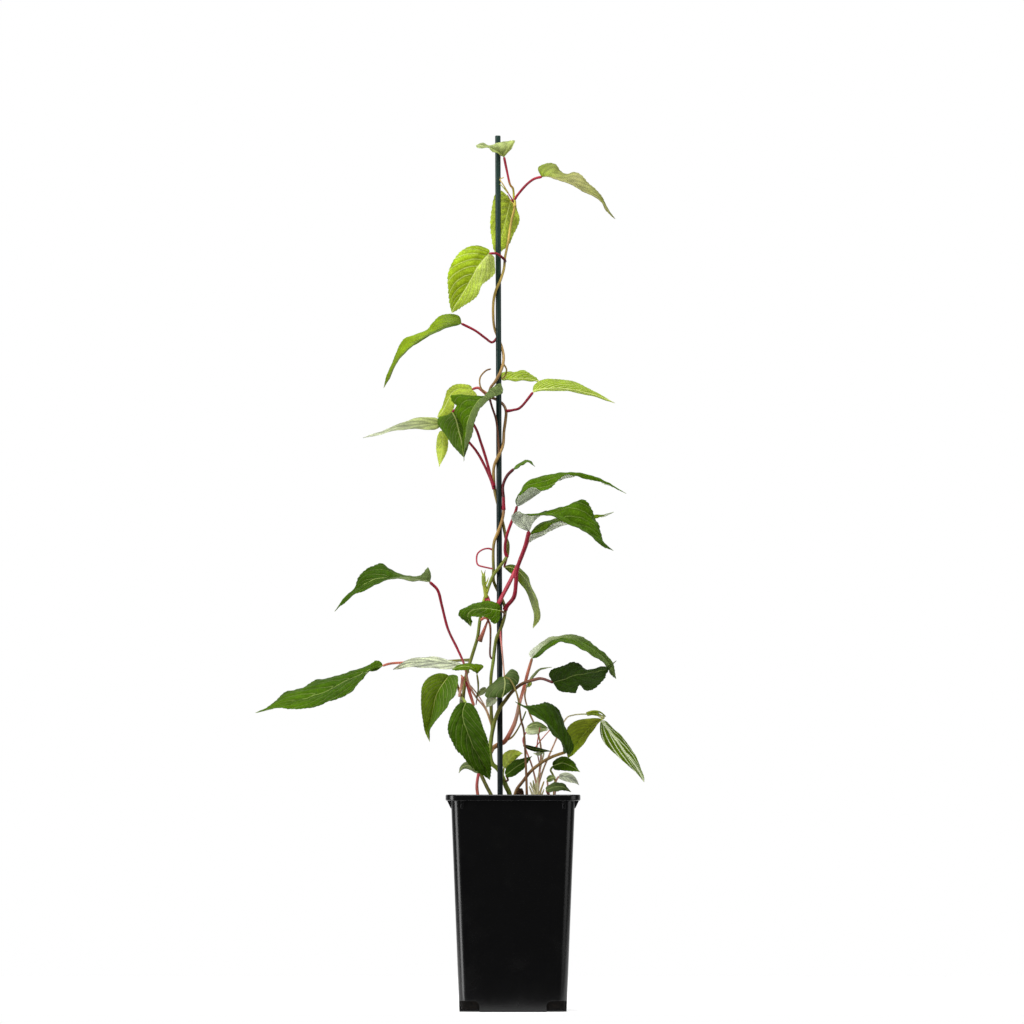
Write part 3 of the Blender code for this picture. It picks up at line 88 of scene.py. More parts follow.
# What is finer here than in the part.
RIM_ROUND = 1.3
DRAIN_ROUND = 5.0
POT_EDGE = 0.35
OVERLAP = 1.0
CUT_BEYOND = 5.0
CORNER_STEPS = 12
SOIL_CORNER_STEPS = 6
SOIL_GAP = 0.35
SOIL_CELLS = 90
SKIN = 0.1
CRUMBS = 420
CRUMB_SEED = 7
CRUMB_FROM_WALL = 3
CRUMB_SIZES = (0.7, 2.4)
CRUMB_FLATNESS = (0.35, 0.9)
CRUMB_LENGTH = (1.0, 2.6)
CRUMB_ROUGH = 0.35
CRUMB_RISE = 0.25
STAKE_ROUND = 0.9
STAKE_STEP = 12
STAKE_SIDES = 32
STAKE_UNEVEN = 0.012
BARK_THICK = 1.7
BARK_GRID = (16, 26)
BARK_FROM = 0.2
BARK_SHARE = 0.6
BARK_TEAR = 0.12
BARK_ROUGH = 0.5

# Stems.
STEM_STEP = 1.5
STEM_ROUNDNESS = 3
STEM_WELD = 0.002
PETIOLE_GIRTH = 1.2
FOOT_LENGTH = 4
END_TAPER = 0.6
STEM_UNEVEN = 0.10
STEM_PATCHY = 0.5

# Blades. A half of a blade reaches from the midrib, 0 across, to its margin, 1 across.
BLADE_THICK = 0.5
BLADE_WELD = 0.02
FULL_BLADE = 25
LARGE_BLADE = 13.0
LARGE_COLUMNS = 28
SMALL_COLUMNS = 14
LONG_BLADE = 32.0
SHORT_PAIRS = 5
MARGIN_CURL = -16.0
DEFAULT_PEAK = 0.38
DEFAULT_LOBE = 0.5
LOBE_END = 0.3
BASE_FULLNESS = 0.62
TIP_DRAWN_OUT = 1.35
FAN = 1.5
ARCH = 0.05
TOOTH = 0.9
TOOTH_STEP = 3.4
TOOTH_RISE = (0.0, 0.34, 0.68, 1.0)
TOOTH_FORWARD = 0.5
TOOTH_JITTER = 0.35
TOOTHED = (0.03, 0.985)
ROWS_A_TOOTH = 4
FEWEST_TEETH = 8
MOST_TEETH = 34
PUFF = 1.1
PUFF_SHAPE = 0.6
RUMPLE = 1.2
GROOVE = 0.4
GROOVE_EDGE = (0.4, 2.6)
WAVE = 1.3
WAVES = 3.2
FADE_IN = (0.0, 0.12)
FADE_OUT = (0.86, 1.0)
HOLLOW_SHADE = 0.6
PATCHINESS = 0.3
VEIN_SWEEP = 0.30
VEIN_BEND = 1.3
VEIN_STAGGER = 0.35


def srgb(red, green, blue):
    """A colour from 0 to 255 a channel, made linear."""
    def linear(level):
        level /= 255
        return level / 12.92 if level <= 0.04045 else ((level + 0.055) / 1.055) ** 2.4
    return linear(red), linear(green), linear(blue)


# Blade colours, for upper sides and undersides alike. Frost is the pale colour of undersides and
# also paints the white sheen off blades seen edge-on; glow and flare are greens brightened to
# paint the light that shines through backlit young blades.
BLADE_COLOURS = {
    "lime": srgb(158, 182, 24),
    "spring": srgb(138, 164, 12),
    "celery": srgb(188, 200, 105),
    "meadow": srgb(110, 138, 10),
    "clover": srgb(78, 112, 4),
    "forest": srgb(56, 86, 4),
    "bottle": srgb(34, 54, 3),
    "olive": srgb(112, 124, 38),
    "dusk": srgb(96, 114, 62),
    "sage": srgb(166, 180, 126),
    "frost": srgb(240, 246, 226),
    "straw": srgb(172, 172, 108),
    "citrus": srgb(168, 174, 60),
    "glow": srgb(190, 208, 70),
    "flare": srgb(226, 240, 108),
}
STEM_COLOURS = {
    "gold": srgb(200, 172, 84),
    "tan": srgb(176, 142, 80),
    "brown": srgb(122, 84, 52),
    "olive": srgb(116, 116, 42),
    "green": srgb(132, 152, 54),
    "lime": srgb(178, 190, 50),
    "crimson": srgb(156, 20, 48),
    "maroon": srgb(92, 22, 30),
    "pink": srgb(208, 76, 94),
    "salmon": srgb(232, 130, 108),
    "blush": srgb(240, 190, 166),
    "cream": srgb(248, 242, 196),
}

# Tints for the light that comes through a blade.
GREEN_LIGHT = (1.0, 1.0, 0.45, 1.0)
CLEAR_LIGHT = (1.0, 1.0, 0.85, 1.0)

# The finish of each side of each kind of blade: how rough and shiny it is, the tint of its veins
# and how much of it they take, how much light comes through, how strong its relief is and what
# tints that light.
BladeLook = namedtuple("BladeLook", "roughness specular vein_tint vein_share through relief light")
BLADE_LOOKS = {
    ("young", "upper"): BladeLook(0.45, 0.2, (0.74, 0.80, 0.30, 1.0), 0.85, 0.34, 0.35, GREEN_LIGHT),
    ("young", "under"): BladeLook(0.6, 0.15, (0.74, 0.80, 0.50, 1.0), 0.85, 0.34, 0.35, GREEN_LIGHT),
    ("grown", "upper"): BladeLook(0.45, 0.07, (0.62, 0.72, 0.24, 1.0), 0.48, 0.12, 0.8, GREEN_LIGHT),
    ("grown", "under"): BladeLook(0.6, 0.15, (0.74, 0.80, 0.60, 1.0), 0.5, 0.12, 0.8, GREEN_LIGHT),
    ("pale", "upper"): BladeLook(0.5, 0.1, (0.85, 0.90, 0.70, 1.0), 0.8, 0.5, 0.5, CLEAR_LIGHT),
    ("pale", "under"): BladeLook(0.6, 0.1, (0.85, 0.90, 0.74, 1.0), 0.8, 0.5, 0.5, CLEAR_LIGHT),
}

# The kinds of blade by tone: whose finish they take, how much of the relief and the teeth they
# show, and how many pairs of side veins a long one has.
Tone = namedtuple("Tone", "look calm pairs")
TONES = {
    "young": Tone("young", 0.7, 8),
    "fresh": Tone("young", 0.4, 11),
    "mature": Tone("grown", 0.8, 8),
    "pale": Tone("pale", 0.4, 4),
}

SLOTS = {
    "vine_main": "stem_tan",
    "vine_second": "stem_olive",
    "shoot_left": "stem_pink",
    "shoot_centre": "stem_brown",
    "shoot_arched": "stem_brown",
    "crown_pale": "stem_pale",
    "shoots_right": "stem_pale",
}

# The studio: the camera looks along +Y from rim height, and one photo pixel is a millimetre. These
# places and sizes are in metres. A lamp is its name, place, width, height and watts.
CAMERA_PLACE = (-0.001, -8.0, 0.215)
CAMERA_AIM = (-0.001, 0.0, 0.498)
CAMERA_LENS = 281.4
LIGHT_AIM = (0, 0, 0.45)
LIGHTS = (
    ("key_strip", (-1.53, -0.95, 0.5), 0.8, 1.8, 25.0),
    ("top_soft", (0.0, -0.4, 2.5), 1.6, 1.6, 37.0),
    ("front_high", (-0.2, -1.5, 2.3), 1.4, 1.4, 24.5),
    ("right_fill", (1.55, -1.3, 0.7), 1.4, 1.6, 9.5),
)
FRONT_AMBIENT = 0.085
BACK_AMBIENT = 0.8
AMBIENT_TURN = (0.15, 0.85)
FLOOR_SIZE = 1.6
FLOOR_FRONT = 0.1
FLOOR_GLOW = 0.55

Leaf = namedtuple("Leaf", "name tone upper under veins spine right left peak lobe",
                  defaults=(DEFAULT_PEAK, DEFAULT_LOBE))
Branch = namedtuple("Branch", "radius_from radius_to tints points leaf swell",
                    defaults=(None, 0.25))

# Each blade has the colours of its sides, base to tip, the right half's before a bar and the left
# half's after it, and how much its veins show, less than 0 for darker ones. Then come its midrib
# from base to tip and its two halves. A half is the points that its margin passes, or its width
# and then its slope at even steps from base to tip: 0 lies across the view, 90 comes straight
# forward. After them come where a blade with widths is widest and how far its base lobes sweep
# back.
# Pale colours in a half, frost most of all, partly paint the sheen off blades seen edge-on, so the two
# halves of a blade differ by painted sheen as well as by their own colour.
LEAVES = (
    Leaf("leaf_01", "young", "celery sage", "sage", 0.2,
         ((-9, -5, 853.5), (-15, -8, 858), (-22, -10, 861.5), (-27, -11, 863.5), (-32, -12, 864.5),
          (-37, -12, 864.5)),
         ((-3, -5, 861), (2, -4, 870), (-7, -4.5, 868.5), (-17, -5, 867), (-25, -7, 864.5),
          (-31, -9, 867)),
         ((-13, -9, 855), (-19, -13, 858), (-25, -14, 861.5), (-30, -14, 862), (-35, -13, 861.5))),
    Leaf("leaf_02", "young", "straw | spring straw olive", "straw", 0.1,
         ((29, -12, 833), (35, -13, 833), (42, -15, 831), (52, -18, 827.5), (64, -21, 822), (77, -24, 815),
          (87, -26, 808), (91, -27, 804), (97, -28, 794), (102, -30, 789.5)),
         ((33, -18, 832), (43, -27, 829.5), (54, -33, 825), (66, -36, 819), (79, -35, 812),
          (89, -33, 804.5), (94, -32, 797)),
         ((27, -10, 836), (25, -8, 842), (30, -4, 845), (38, -2, 847), (43, -2, 846), (47, -4, 840),
          (55, -6, 836), (61, -8, 837), (67, -11, 835), (75, -15, 827), (82, -19, 820), (87, -21, 814),
          (91, -23, 806), (96, -25, 798))),
    Leaf("leaf_03", "young", "glow", "celery", 0.5,
         ((-2, 8, 811), (-5, 9, 800), (-9, 10, 785), (-13, 9, 770), (-16, 8, 757)),
         ((-8, 9, 818), (-13, 10, 821), (-18, 10, 816), (-21, 9, 803), (-22.5, 8, 788), (-21.5, 8, 775),
          (-19, 8, 761)),
         ((1, 8, 810), (4, 8, 802), (6.5, 7, 792), (4, 7, 784), (1, 7, 778), (-4, 7, 767), (-12, 8, 760))),
    Leaf("leaf_04", "young", "lime | celery lime", "celery", 0.8,
         ((-24, -14, 756), (-35, -20, 742), (-46, -23, 722), (-57, -22, 705), (-61, -20, 696)),
         ((-24, -13, 760), (-33, -14, 763), (-42, -16, 763), (-51, -18, 759), (-58, -20, 750),
          (-64, -22, 738), (-65, -22, 728), (-64, -22, 718), (-63, -21, 706)),
         ((-19, -13, 753), (-18.5, -14, 745), (-19, -17, 736), (-24, -22, 730), (-31, -27, 724),
          (-35, -29, 714), (-43, -28, 707), (-51, -25, 702), (-57, -22, 698.5))),
    Leaf("leaf_05", "fresh", "meadow spring meadow | clover meadow olive", "spring", 0.4,
         ((-51.5, -20, 685.5), (-62, -22, 683.5), (-73, -25, 679), (-83, -28, 673.5), (-93, -30, 667),
          (-102, -31, 661.5), (-110, -31, 654), (-117, -29, 644.5), (-122, -27, 633), (-129, -24, 621)),
         ((-54, -17, 693), (-64, -14, 695.5), (-73, -13, 693.5), (-80, -14, 686.5), (-85, -15, 679.5),
          (-96, -17, 675.5), (-107, -19, 671.5), (-112, -20, 665), (-115.5, -21, 657), (-120, -22, 647.5),
          (-125, -23, 636)),
         ((-56, -28, 683), (-68, -36, 679.5), (-80, -42, 674), (-91, -45, 667.5), (-101, -45, 661),
          (-110, -43, 652.5), (-117, -38, 642), (-123, -31, 631))),
    Leaf("leaf_06", "young", "lime spring", "celery", 1.3,
         ((-12, 9, 631), (-4, 11, 631), (7, 13, 632), (17, 14, 631), (27, 15, 629)),
         ((-9, 4, 630), (0, 2, 629.5), (10, 4, 629.5), (19, 9, 629.5)),
         ((-14, 13, 635), (-10, 18, 638.5), (1, 22, 639.5), (10, 22, 640.5), (18, 20, 637),
          (24, 17, 632))),
    Leaf("leaf_07", "fresh", "lime spring lime", "celery", 1.5,
         ((20, -6, 617.5), (31, -8, 620), (46, -9, 620.5), (61, -8, 619), (76, -6, 615.5), (90, -3, 611.5),
          (102, 0, 607)),
         ((26, -14, 618), (38, -20, 618.5), (52, -22, 618), (66, -19, 616), (80, -13, 613), (92, -6, 610)),
         ((20, -3, 621), (21, 0, 625), (28, 4, 629.5), (40, 6, 631.5), (54, 6, 630), (67, 4, 626),
          (79, 2, 620), (90, 0, 613.5))),
    Leaf("leaf_08", "young", "glow", "celery", 0.6,
         ((-41, 4, 621), (-51, 8, 622.5), (-60, 9, 619), (-66, 8, 608), (-70, 7, 600), (-76, 6, 593)),
         ((-43, 5, 625), (-53, 9, 626.5), (-60, 11, 625), (-66, 12, 620), (-67.5, 12, 613),
          (-72, 10, 602)),
         ((-36, 1, 614), (-44, 0, 613), (-54, 0, 613.5), (-59, 4, 611), (-59, 6, 603), (-66, 6, 594))),
    Leaf("leaf_09", "mature", "clover | dusk", "dusk", 0.5,
         ((-26.5, -13, 613.5), (-34, -18, 609), (-41, -22, 598), (-46, -24, 584), (-48, -22, 569),
          (-49, -17, 548)),
         ((-36, -13, 612.5), (-48, -10, 613), (-58, -8, 615), (-62, -8, 614), (-61, -9, 609),
          (-56, -11, 604), (-57, -12, 598), (-54, -13, 590), (-50, -14, 580), (-49, -15, 566)),
         ((-22, -15, 619), (-13, -15, 626), (-10.5, -17, 616), (-20, -22, 611.5), (-26, -27, 608),
          (-32, -32, 602), (-34, -35, 597), (-38, -36, 585), (-43, -32, 570), (-48, -22, 556))),
    Leaf("leaf_10", "fresh", "clover", "sage", 0.5,
         ((-61, -3, 598), (-57, -6, 590), (-54, -8, 578), (-51, -9, 566), (-49, -9, 552)),
         ((-66, -3, 594), (-74, -3, 593), (-75, -4, 586), (-68, -5, 576), (-59, -6, 563)),
         ((-57, 2, 602), (-50, 7, 600), (-44, 7, 586), (-44, 3, 572), (-47, -3, 558))),
    Leaf("leaf_11", "pale", "celery frost", "frost", -0.35,
         ((-72, 4, 586), (-85, 4, 586.5), (-100, 3, 585), (-115, 1, 582), (-130, -1, 577.5),
          (-150, -4, 572)),
         ((-76, 6, 592), (-86, 8, 593), (-98, 9, 592), (-110, 8, 588), (-124, 5, 582), (-138, 1, 576.5)),
         ((-76, -4, 581), (-88, -12, 580), (-103, -14, 580.5), (-118, -12, 579), (-132, -8, 575.5))),
    Leaf("leaf_12", "young", "flare", "celery", 0.4,
         ((-71, 12, 580), (-71, 13, 565), (-74, 12, 543)), (6, -8, -8), (6, -8, -8)),
    Leaf("leaf_13", "mature", "clover", "sage", 0.3,
         ((1, -6, 541), (9, -8, 546), (16, -10, 548), (22, -10, 543)), (9, 86, 86), (9, -70, -70)),
    Leaf("leaf_14", "mature", "clover", "frost", 0.6,
         ((4, -10, 503.5), (5, -14, 513), (13, -18, 527), (26, -20, 532.5), (41, -21, 535),
          (52, -20, 536.5), (68, -18, 535.5), (87, -16, 530), (113, -12, 516)),
         ((3, -16, 508), (4.5, -22, 513), (10, -30, 516), (18, -35, 520), (29, -37, 518), (38, -36, 522),
          (45, -33, 529), (54, -28, 533), (68, -23, 531.5), (87, -18, 527.5)),
         ((9, -4, 505), (17, 0, 511), (27, 2, 518), (38, 2, 525), (50, 0, 531.5), (68, -6, 533.5),
          (90, -10, 527))),
    Leaf("leaf_15", "mature", "forest clover forest", "frost sage", 0.5,
         ((16, -24, 478), (20, -27, 487), (27, -30, 493.5), (38, -33, 495), (48, -35, 492.5),
          (58, -35, 486.5), (72, -33, 478.5), (87, -30, 468.5), (100, -27, 458.5)),
         ((8, -30, 481), (-1, -33, 490), (4, -36, 496.5), (14, -40, 494.5), (27, -44, 492.5),
          (39, -48, 491), (57, -50, 484.5), (72, -46, 475.5), (87, -38, 464.5)),
         ((19, -20, 486), (24, -17, 494), (33, -15, 497), (46, -13, 498), (51, -12, 502), (59, -12, 503),
          (63, -12, 505), (68, -12, 509), (73, -13, 507), (78, -14, 501), (81, -15, 493), (85, -16, 486),
          (86, -18, 478), (88, -20, 470), (93, -23, 463))),
    Leaf("leaf_16", "mature", "clover meadow", "frost", 0.5,
         ((15, 9, 470), (19, 14, 480), (27, 18, 487), (40, 21, 491), (60, 22, 494), (82, 21, 495),
          (91, 19, 494), (101, 15, 498.5)),
         ((18, 4, 475), (27, 2, 479), (34, 1, 481), (40, 2, 486), (50, 6, 489), (67, 12, 491.5),
          (84, 17, 493)),
         ((17, 16, 468), (27, 26, 474.5), (39, 32, 480.5), (51, 34, 485.5), (67, 32, 491), (85, 26, 494))),
    Leaf("leaf_17", "fresh", "clover meadow sage celery", "sage", 0.8,
         ((-9, 9, 443), (-3, 12, 443), (4, 15, 440), (11, 18, 433), (17, 20, 424), (22, 21, 412),
          (24, 21, 400), (22, 20, 388), (20, 18, 382)),
         ((-5, 8, 439), (1, 8, 434), (7, 9, 427), (12, 11, 421), (16, 13, 412), (19, 15, 404),
          (21, 16, 395)),
         ((-7, 12, 444.5), (-1, 18, 446), (5, 23, 444), (10, 26, 439), (15, 28, 434), (17.5, 29, 427),
          (20, 29, 419), (24, 28, 411), (26, 27, 404), (27.5, 26, 397), (26, 23, 390))),
    Leaf("leaf_18", "mature", "clover forest", "sage", 0.6,
         ((-13, -14, 399), (-24, -18, 401), (-33, -20, 401), (-41, -21, 399.5), (-45, -21, 394),
          (-42, -20, 383)),
         ((-13, -13, 403), (-18, -13, 407), (-26, -11, 409), (-33, -9, 406.5), (-41, -11, 405),
          (-48, -13, 402), (-53, -15, 398), (-53, -17, 393), (-47, -19, 388)),
         ((-13, -18, 393), (-17, -24, 386), (-24, -28, 390), (-30, -30, 393), (-36, -29, 393),
          (-41, -26, 393), (-41, -22, 388))),
    Leaf("leaf_19", "mature", "dusk dusk forest forest clover | sage forest forest", "sage", 0.5,
         ((-83, -16, 427.5), (-98, -22, 430), (-113, -26, 431), (-125, -28, 431), (-138, -29, 430),
          (-148, -28, 425), (-158, -26, 418), (-167, -24, 410), (-178, -18, 398)),
         ((-82, -13, 435), (-85, -10, 442), (-90, -9, 436), (-98, -8, 432.5), (-110, -8, 433),
          (-117, -9, 436), (-125, -11, 442.5), (-132, -13, 446), (-143, -15, 440.5), (-153, -17, 433),
          (-159, -18, 421), (-166, -20, 413)),
         ((-88, -24, 428), (-101, -36, 428.5), (-113, -42, 429.5), (-125, -44, 428), (-137, -43, 425),
          (-147, -40, 418), (-158, -35, 414), (-168, -28, 407))),
    Leaf("leaf_20", "mature", "clover forest clover", "sage", 0.5,
         ((-130, -14, 344), (-143, -18, 340), (-153, -20, 335), (-168, -22, 328), (-180, -23, 321),
          (-193, -23, 316), (-208, -22, 311), (-223, -20, 307), (-241, -15, 301), (-257, -10, 297)),
         ((-132, -12, 348), (-137, -9, 349), (-142, -7, 345), (-151, -4, 340.5), (-163, 0, 338.5),
          (-175, 2, 335), (-188, 2, 330), (-197, 2, 329), (-205, 1, 325), (-217, 0, 321),
          (-225, -1, 318.5), (-231, -3, 313), (-242, -7, 304.5)),
         ((-136, -17, 339.5), (-142, -22, 338), (-146, -28, 336), (-149, -34, 331), (-152, -39, 327),
          (-157, -43, 320), (-164, -45, 315.5), (-175, -45, 311), (-184, -44, 308), (-191, -42, 304),
          (-200, -40, 301.5), (-213, -36, 301), (-228, -29, 302), (-243, -18, 300))),
    Leaf("leaf_21", "pale", "frost", "frost", -0.5,
         ((-50, 5, 344), (-62, 7, 346), (-78, 8, 348), (-95, 7, 347.5), (-108, 5, 345.5),
          (-120, 2, 340.5)),
         ((-54, 8, 347), (-64, 12, 350), (-78, 14, 353), (-94, 13, 352.5), (-108, 9, 349)),
         ((-56, -2, 341.5), (-68, -6, 341), (-84, -8, 342), (-100, -5, 343), (-112, 0, 341.5))),
    Leaf("leaf_22", "mature", "meadow clover", "sage", 0.6,
         ((-36, -11, 336), (-40, -13, 341), (-46, -14, 343.5), (-53, -14, 343), (-61, -13, 340)),
         ((-31, -10, 341), (-29.5, -9, 343.5), (-35, -8, 345.5), (-43, -8, 346), (-52, -9, 345.5)),
         ((-38, -15, 338), (-44, -19, 340), (-52, -19, 339.5))),
    Leaf("leaf_23", "fresh", "meadow | clover", "sage", 0.5,
         ((-64, -14, 334), (-72, -19, 323), (-77, -22, 313), (-79, -24, 303), (-82, -25, 290),
          (-85, -24, 279), (-83, -20, 268)),
         ((-68, -16, 336), (-76, -20, 336), (-83, -23, 333), (-88, -26, 328), (-91, -29, 321),
          (-91.5, -31, 311), (-91, -30, 299), (-89.5, -28, 288), (-87.5, -24, 278)),
         ((-60, -15, 335), (-55, -19, 333), (-55.5, -25, 323), (-58, -30, 314), (-63, -33, 309),
          (-65, -34, 303), (-71, -34, 296), (-77, -32, 289), (-82, -28, 281), (-83, -23, 273))),
    Leaf("leaf_24", "mature", "forest", "sage", 0.55,
         ((-47, -33, 307), (-50, -36, 299), (-49.5, -38, 290), (-46.5, -40, 281), (-43, -41, 272),
          (-39, -41, 262), (-33, -40, 252), (-28, -38, 242), (-23, -35, 230)),
         ((-53, -34, 306), (-58, -37, 301), (-62, -40, 293), (-64.5, -43, 284), (-64, -45, 276),
          (-60, -46, 268), (-56, -46, 260), (-50, -45, 254), (-44, -43, 246), (-36, -40, 239),
          (-28, -37, 234)),
         ((-42, -34, 306), (-37, -37, 300), (-33, -40, 292), (-30, -43, 282), (-26, -45, 272),
          (-24, -45, 262), (-23, -43, 252), (-22, -40, 242))),
    Leaf("leaf_25", "fresh", "sage dusk", "sage", 0.4,
         ((-34, -12, 239), (-42, -15, 244), (-50, -17, 243), (-54, -17, 237)), (8, -52, -52), (8, 68, 68)),
    Leaf("leaf_26", "fresh", "forest dusk forest | dusk forest", "sage", 0.4,
         ((-9, -15, 333), (-8, -20, 327), (-9, -23, 319), (-11, -24, 312)),
         ((-13, -14, 332.5), (-19, -14, 328), (-25, -15, 322), (-28, -17, 315), (-25, -20, 312),
          (-17, -23, 312.5)),
         ((-5, -12, 337), (-1, -10, 340.5), (4, -11, 338), (6, -13, 333), (5, -16, 327), (1, -19, 322),
          (-4, -22, 318))),
    Leaf("leaf_27", "pale", "frost", "frost", -0.1,
         ((-17, -10, 312), (-22, -11, 309), (-27, -11, 302)), (5, 28, 28), (5, 28, 28)),
    Leaf("leaf_28", "mature", "forest clover dusk | frost sage clover dusk", "sage frost", 0.4,
         ((19, -6, 351.5), (25, -8, 358), (33, -10, 365), (42, -11, 370), (52, -12, 372), (64, -13, 369),
          (78, -13, 362), (90, -10, 353), (98, -7, 342), (103, -3, 331)),
         ((23, -14, 352), (28, -21, 354), (34, -27, 359), (41, -30, 365), (47, -31, 368.5), (57, -32, 365),
          (66, -31, 360.5), (77, -28, 356), (88, -22, 348), (96, -12, 338)),
         ((16, -3, 356), (20, 0, 362), (28, 2, 367), (38, 3, 371.5), (48, 2, 373.5), (57, 0, 375.5),
          (63, 0, 375), (72, 0, 370), (84, 0, 362), (93, -1, 356), (99, -2, 345))),
    Leaf("leaf_29", "mature", "bottle", "sage", 0.18,
         ((40, -26, 327), (50, -30, 330), (60, -32, 333.5), (72, -32, 336), (84, -30, 338), (94, -27, 341),
          (103, -22, 349)),
         ((43, -29, 323), (48, -37, 318), (55, -43, 317.5), (62, -44, 316.5), (64, -43, 321),
          (67, -42, 324.5), (70, -43, 320), (73, -45, 319), (78, -46, 320), (85, -44, 324.5),
          (91, -38, 331), (93, -31, 337)),
         ((38, -23, 330), (36.5, -20, 335), (40, -18, 340), (47, -17, 343), (54, -17, 345.5),
          (60, -17, 346.5), (67, -18, 344), (74, -18, 340.5), (84, -19, 341), (94, -21, 343))),
    Leaf("leaf_30", "pale", "sage", "sage", 0.3,
         ((13, 4, 322), (21, 6, 335), (28, 8, 341), (39, 10, 343)), (9, 90, 90), (9, -74, -74)),
    Leaf("leaf_31", "mature", "forest", "sage", 0.2,
         ((53, -20, 258), (49, -27, 267), (42, -31, 277), (33, -33, 287), (24, -34, 295), (13, -33, 302),
          (2, -30, 308)),
         ((56.5, -16, 255), (58.5, -12, 261), (58, -9, 269), (55, -7, 279), (50, -7, 288), (46, -9, 297),
          (40, -11, 304.5), (33, -14, 308), (26, -18, 304), (16, -23, 303.5), (9, -27, 305)),
         ((51.5, -25, 256.5), (49, -35, 262), (46, -42, 269), (39, -48, 277), (31, -49, 286),
          (22, -46, 294), (13, -39, 300), (7, -34, 304.5))),
    Leaf("leaf_32", "fresh", "citrus spring", "sage", 0.25,
         ((90, 14, 291), (79, 14, 284), (68, 12, 272), (55, 8, 252)),
         ((80, 16, 292), (70, 18, 291), (61, 18, 288), (55, 17, 283), (53, 14, 275), (52, 11, 265)),
         ((85, 10, 286), (78, 6, 277), (71, 4, 267), (64, 4, 259))),
    # This blade's strong pale veins are its own veins and also paint stripes of sheen along them.
    Leaf("leaf_33", "pale", "meadow", "sage", 1.8,
         ((88, 3, 290), (99, 0, 275), (111, -4, 258), (123, -6, 242), (131, -4, 228)),
         ((87, -2, 285), (87, -7, 277), (90, -12, 269), (97, -16, 261), (106, -18, 252), (115, -16, 245),
          (125, -10, 235)),
         ((94, 6, 288), (101, 9, 281), (108, 11, 274), (115, 10, 266), (121, 8, 256), (126, 5, 246),
          (130, 1, 235))),
    Leaf("leaf_34", "pale", "frost sage", "frost", 0.8,
         ((13, 2, 278), (25, 4, 281), (36, 4, 280)), (6, 48, 48), (7, -32, -32)),
    Leaf("leaf_35", "mature", "meadow", "frost", 0.3,
         ((31, 8, 257), (21, 8, 260), (10, 6, 264)), (8, -76, -76), (9, 92, 92)),
    Leaf("leaf_36", "young", "flare", "lime", 0.3,
         ((-9, 9, 243), (-3, 11, 252), (3, 12, 256), (10, 10, 257)), (8, -32, -32), (8, -12, -12)),
    Leaf("leaf_37", "mature", "forest bottle", "sage", 0.3,
         ((-7, -9, 235), (2, -11, 242), (11, -12, 248), (19, -11, 254)), (9, 56, 56), (9, -37, -37)),
    Leaf("leaf_38", "mature", "forest clover", "sage", 0.5,
         ((40, -4, 244), (49, -6, 247), (58, -6, 244), (67, -4, 238)), (9, 46, 46), (9, -37, -37)),
    Leaf("leaf_39", "pale", "frost", "frost", -0.3,
         ((46, -15, 234), (54, -16, 233), (61, -15, 230), (66, -13, 225)), (6, 53, 53), (6, -37, -37)),
    Leaf("leaf_40", "fresh", "clover sage", "sage", 0.3,
         ((34, -18, 230), (38, -19, 232), (43, -19, 233)), (4, 48, 48), (4, -32, -32)),
    Leaf("leaf_41", "mature", "dusk bottle", "sage", 0.3,
         ((33, -28, 220), (41, -29, 223), (50, -29, 223), (58, -27, 218)), (8, 66, 66), (8, -50, -50)),
)

# Small leaves that only show here, written as the leaves are.
SPRIGS = (
    Leaf("sprig_51", "mature", "sage", "sage", 0.3,
         ((-27, 2, 322), (-31, 1, 318.5), (-36, 0, 313)), (3, 20, 30), (3, -10, 20)),
    Leaf("sprig_52", "mature", "sage dusk", "sage", 0.3,
         ((-19, 2, 314), (-22.5, 1, 309), (-27, 0, 302)), (3, 20, 30), (3.2, -20, 10)),
    Leaf("sprig_53", "young", "lime", "lime", 0.3,
         ((18, -6, 328), (16.5, -7, 325), (15.5, -7, 322)), (1.8, 20, 30), (1.8, -10, 20)),
    Leaf("sprig_54", "young", "lime spring", "lime", 0.2,
         ((74, 9, 295), (81, 8, 297), (90, 6, 294.5)), (1.8, 20, 30), (1.8, -10, 20)),
    Leaf("sprig_55", "mature", "bottle forest", "sage", 0.3,
         ((10, -3, 265), (22, -5, 261), (40, -6, 258.5)), (2.6, -20, 0), (2.2, 30, 20)),
    Leaf("sprig_56", "mature", "sage clover", "sage", 0.4,
         ((14, 3, 283), (24, 2, 286), (37, 1, 281)), (3, 20, 30), (2.4, -10, 20)),
    Leaf("sprig_57", "mature", "sage frost", "frost", 0.4,
         ((30, -4, 258), (25, -5, 256), (20, -5, 257)), (2.2, 20, 30), (1.8, -10, 20)),
)

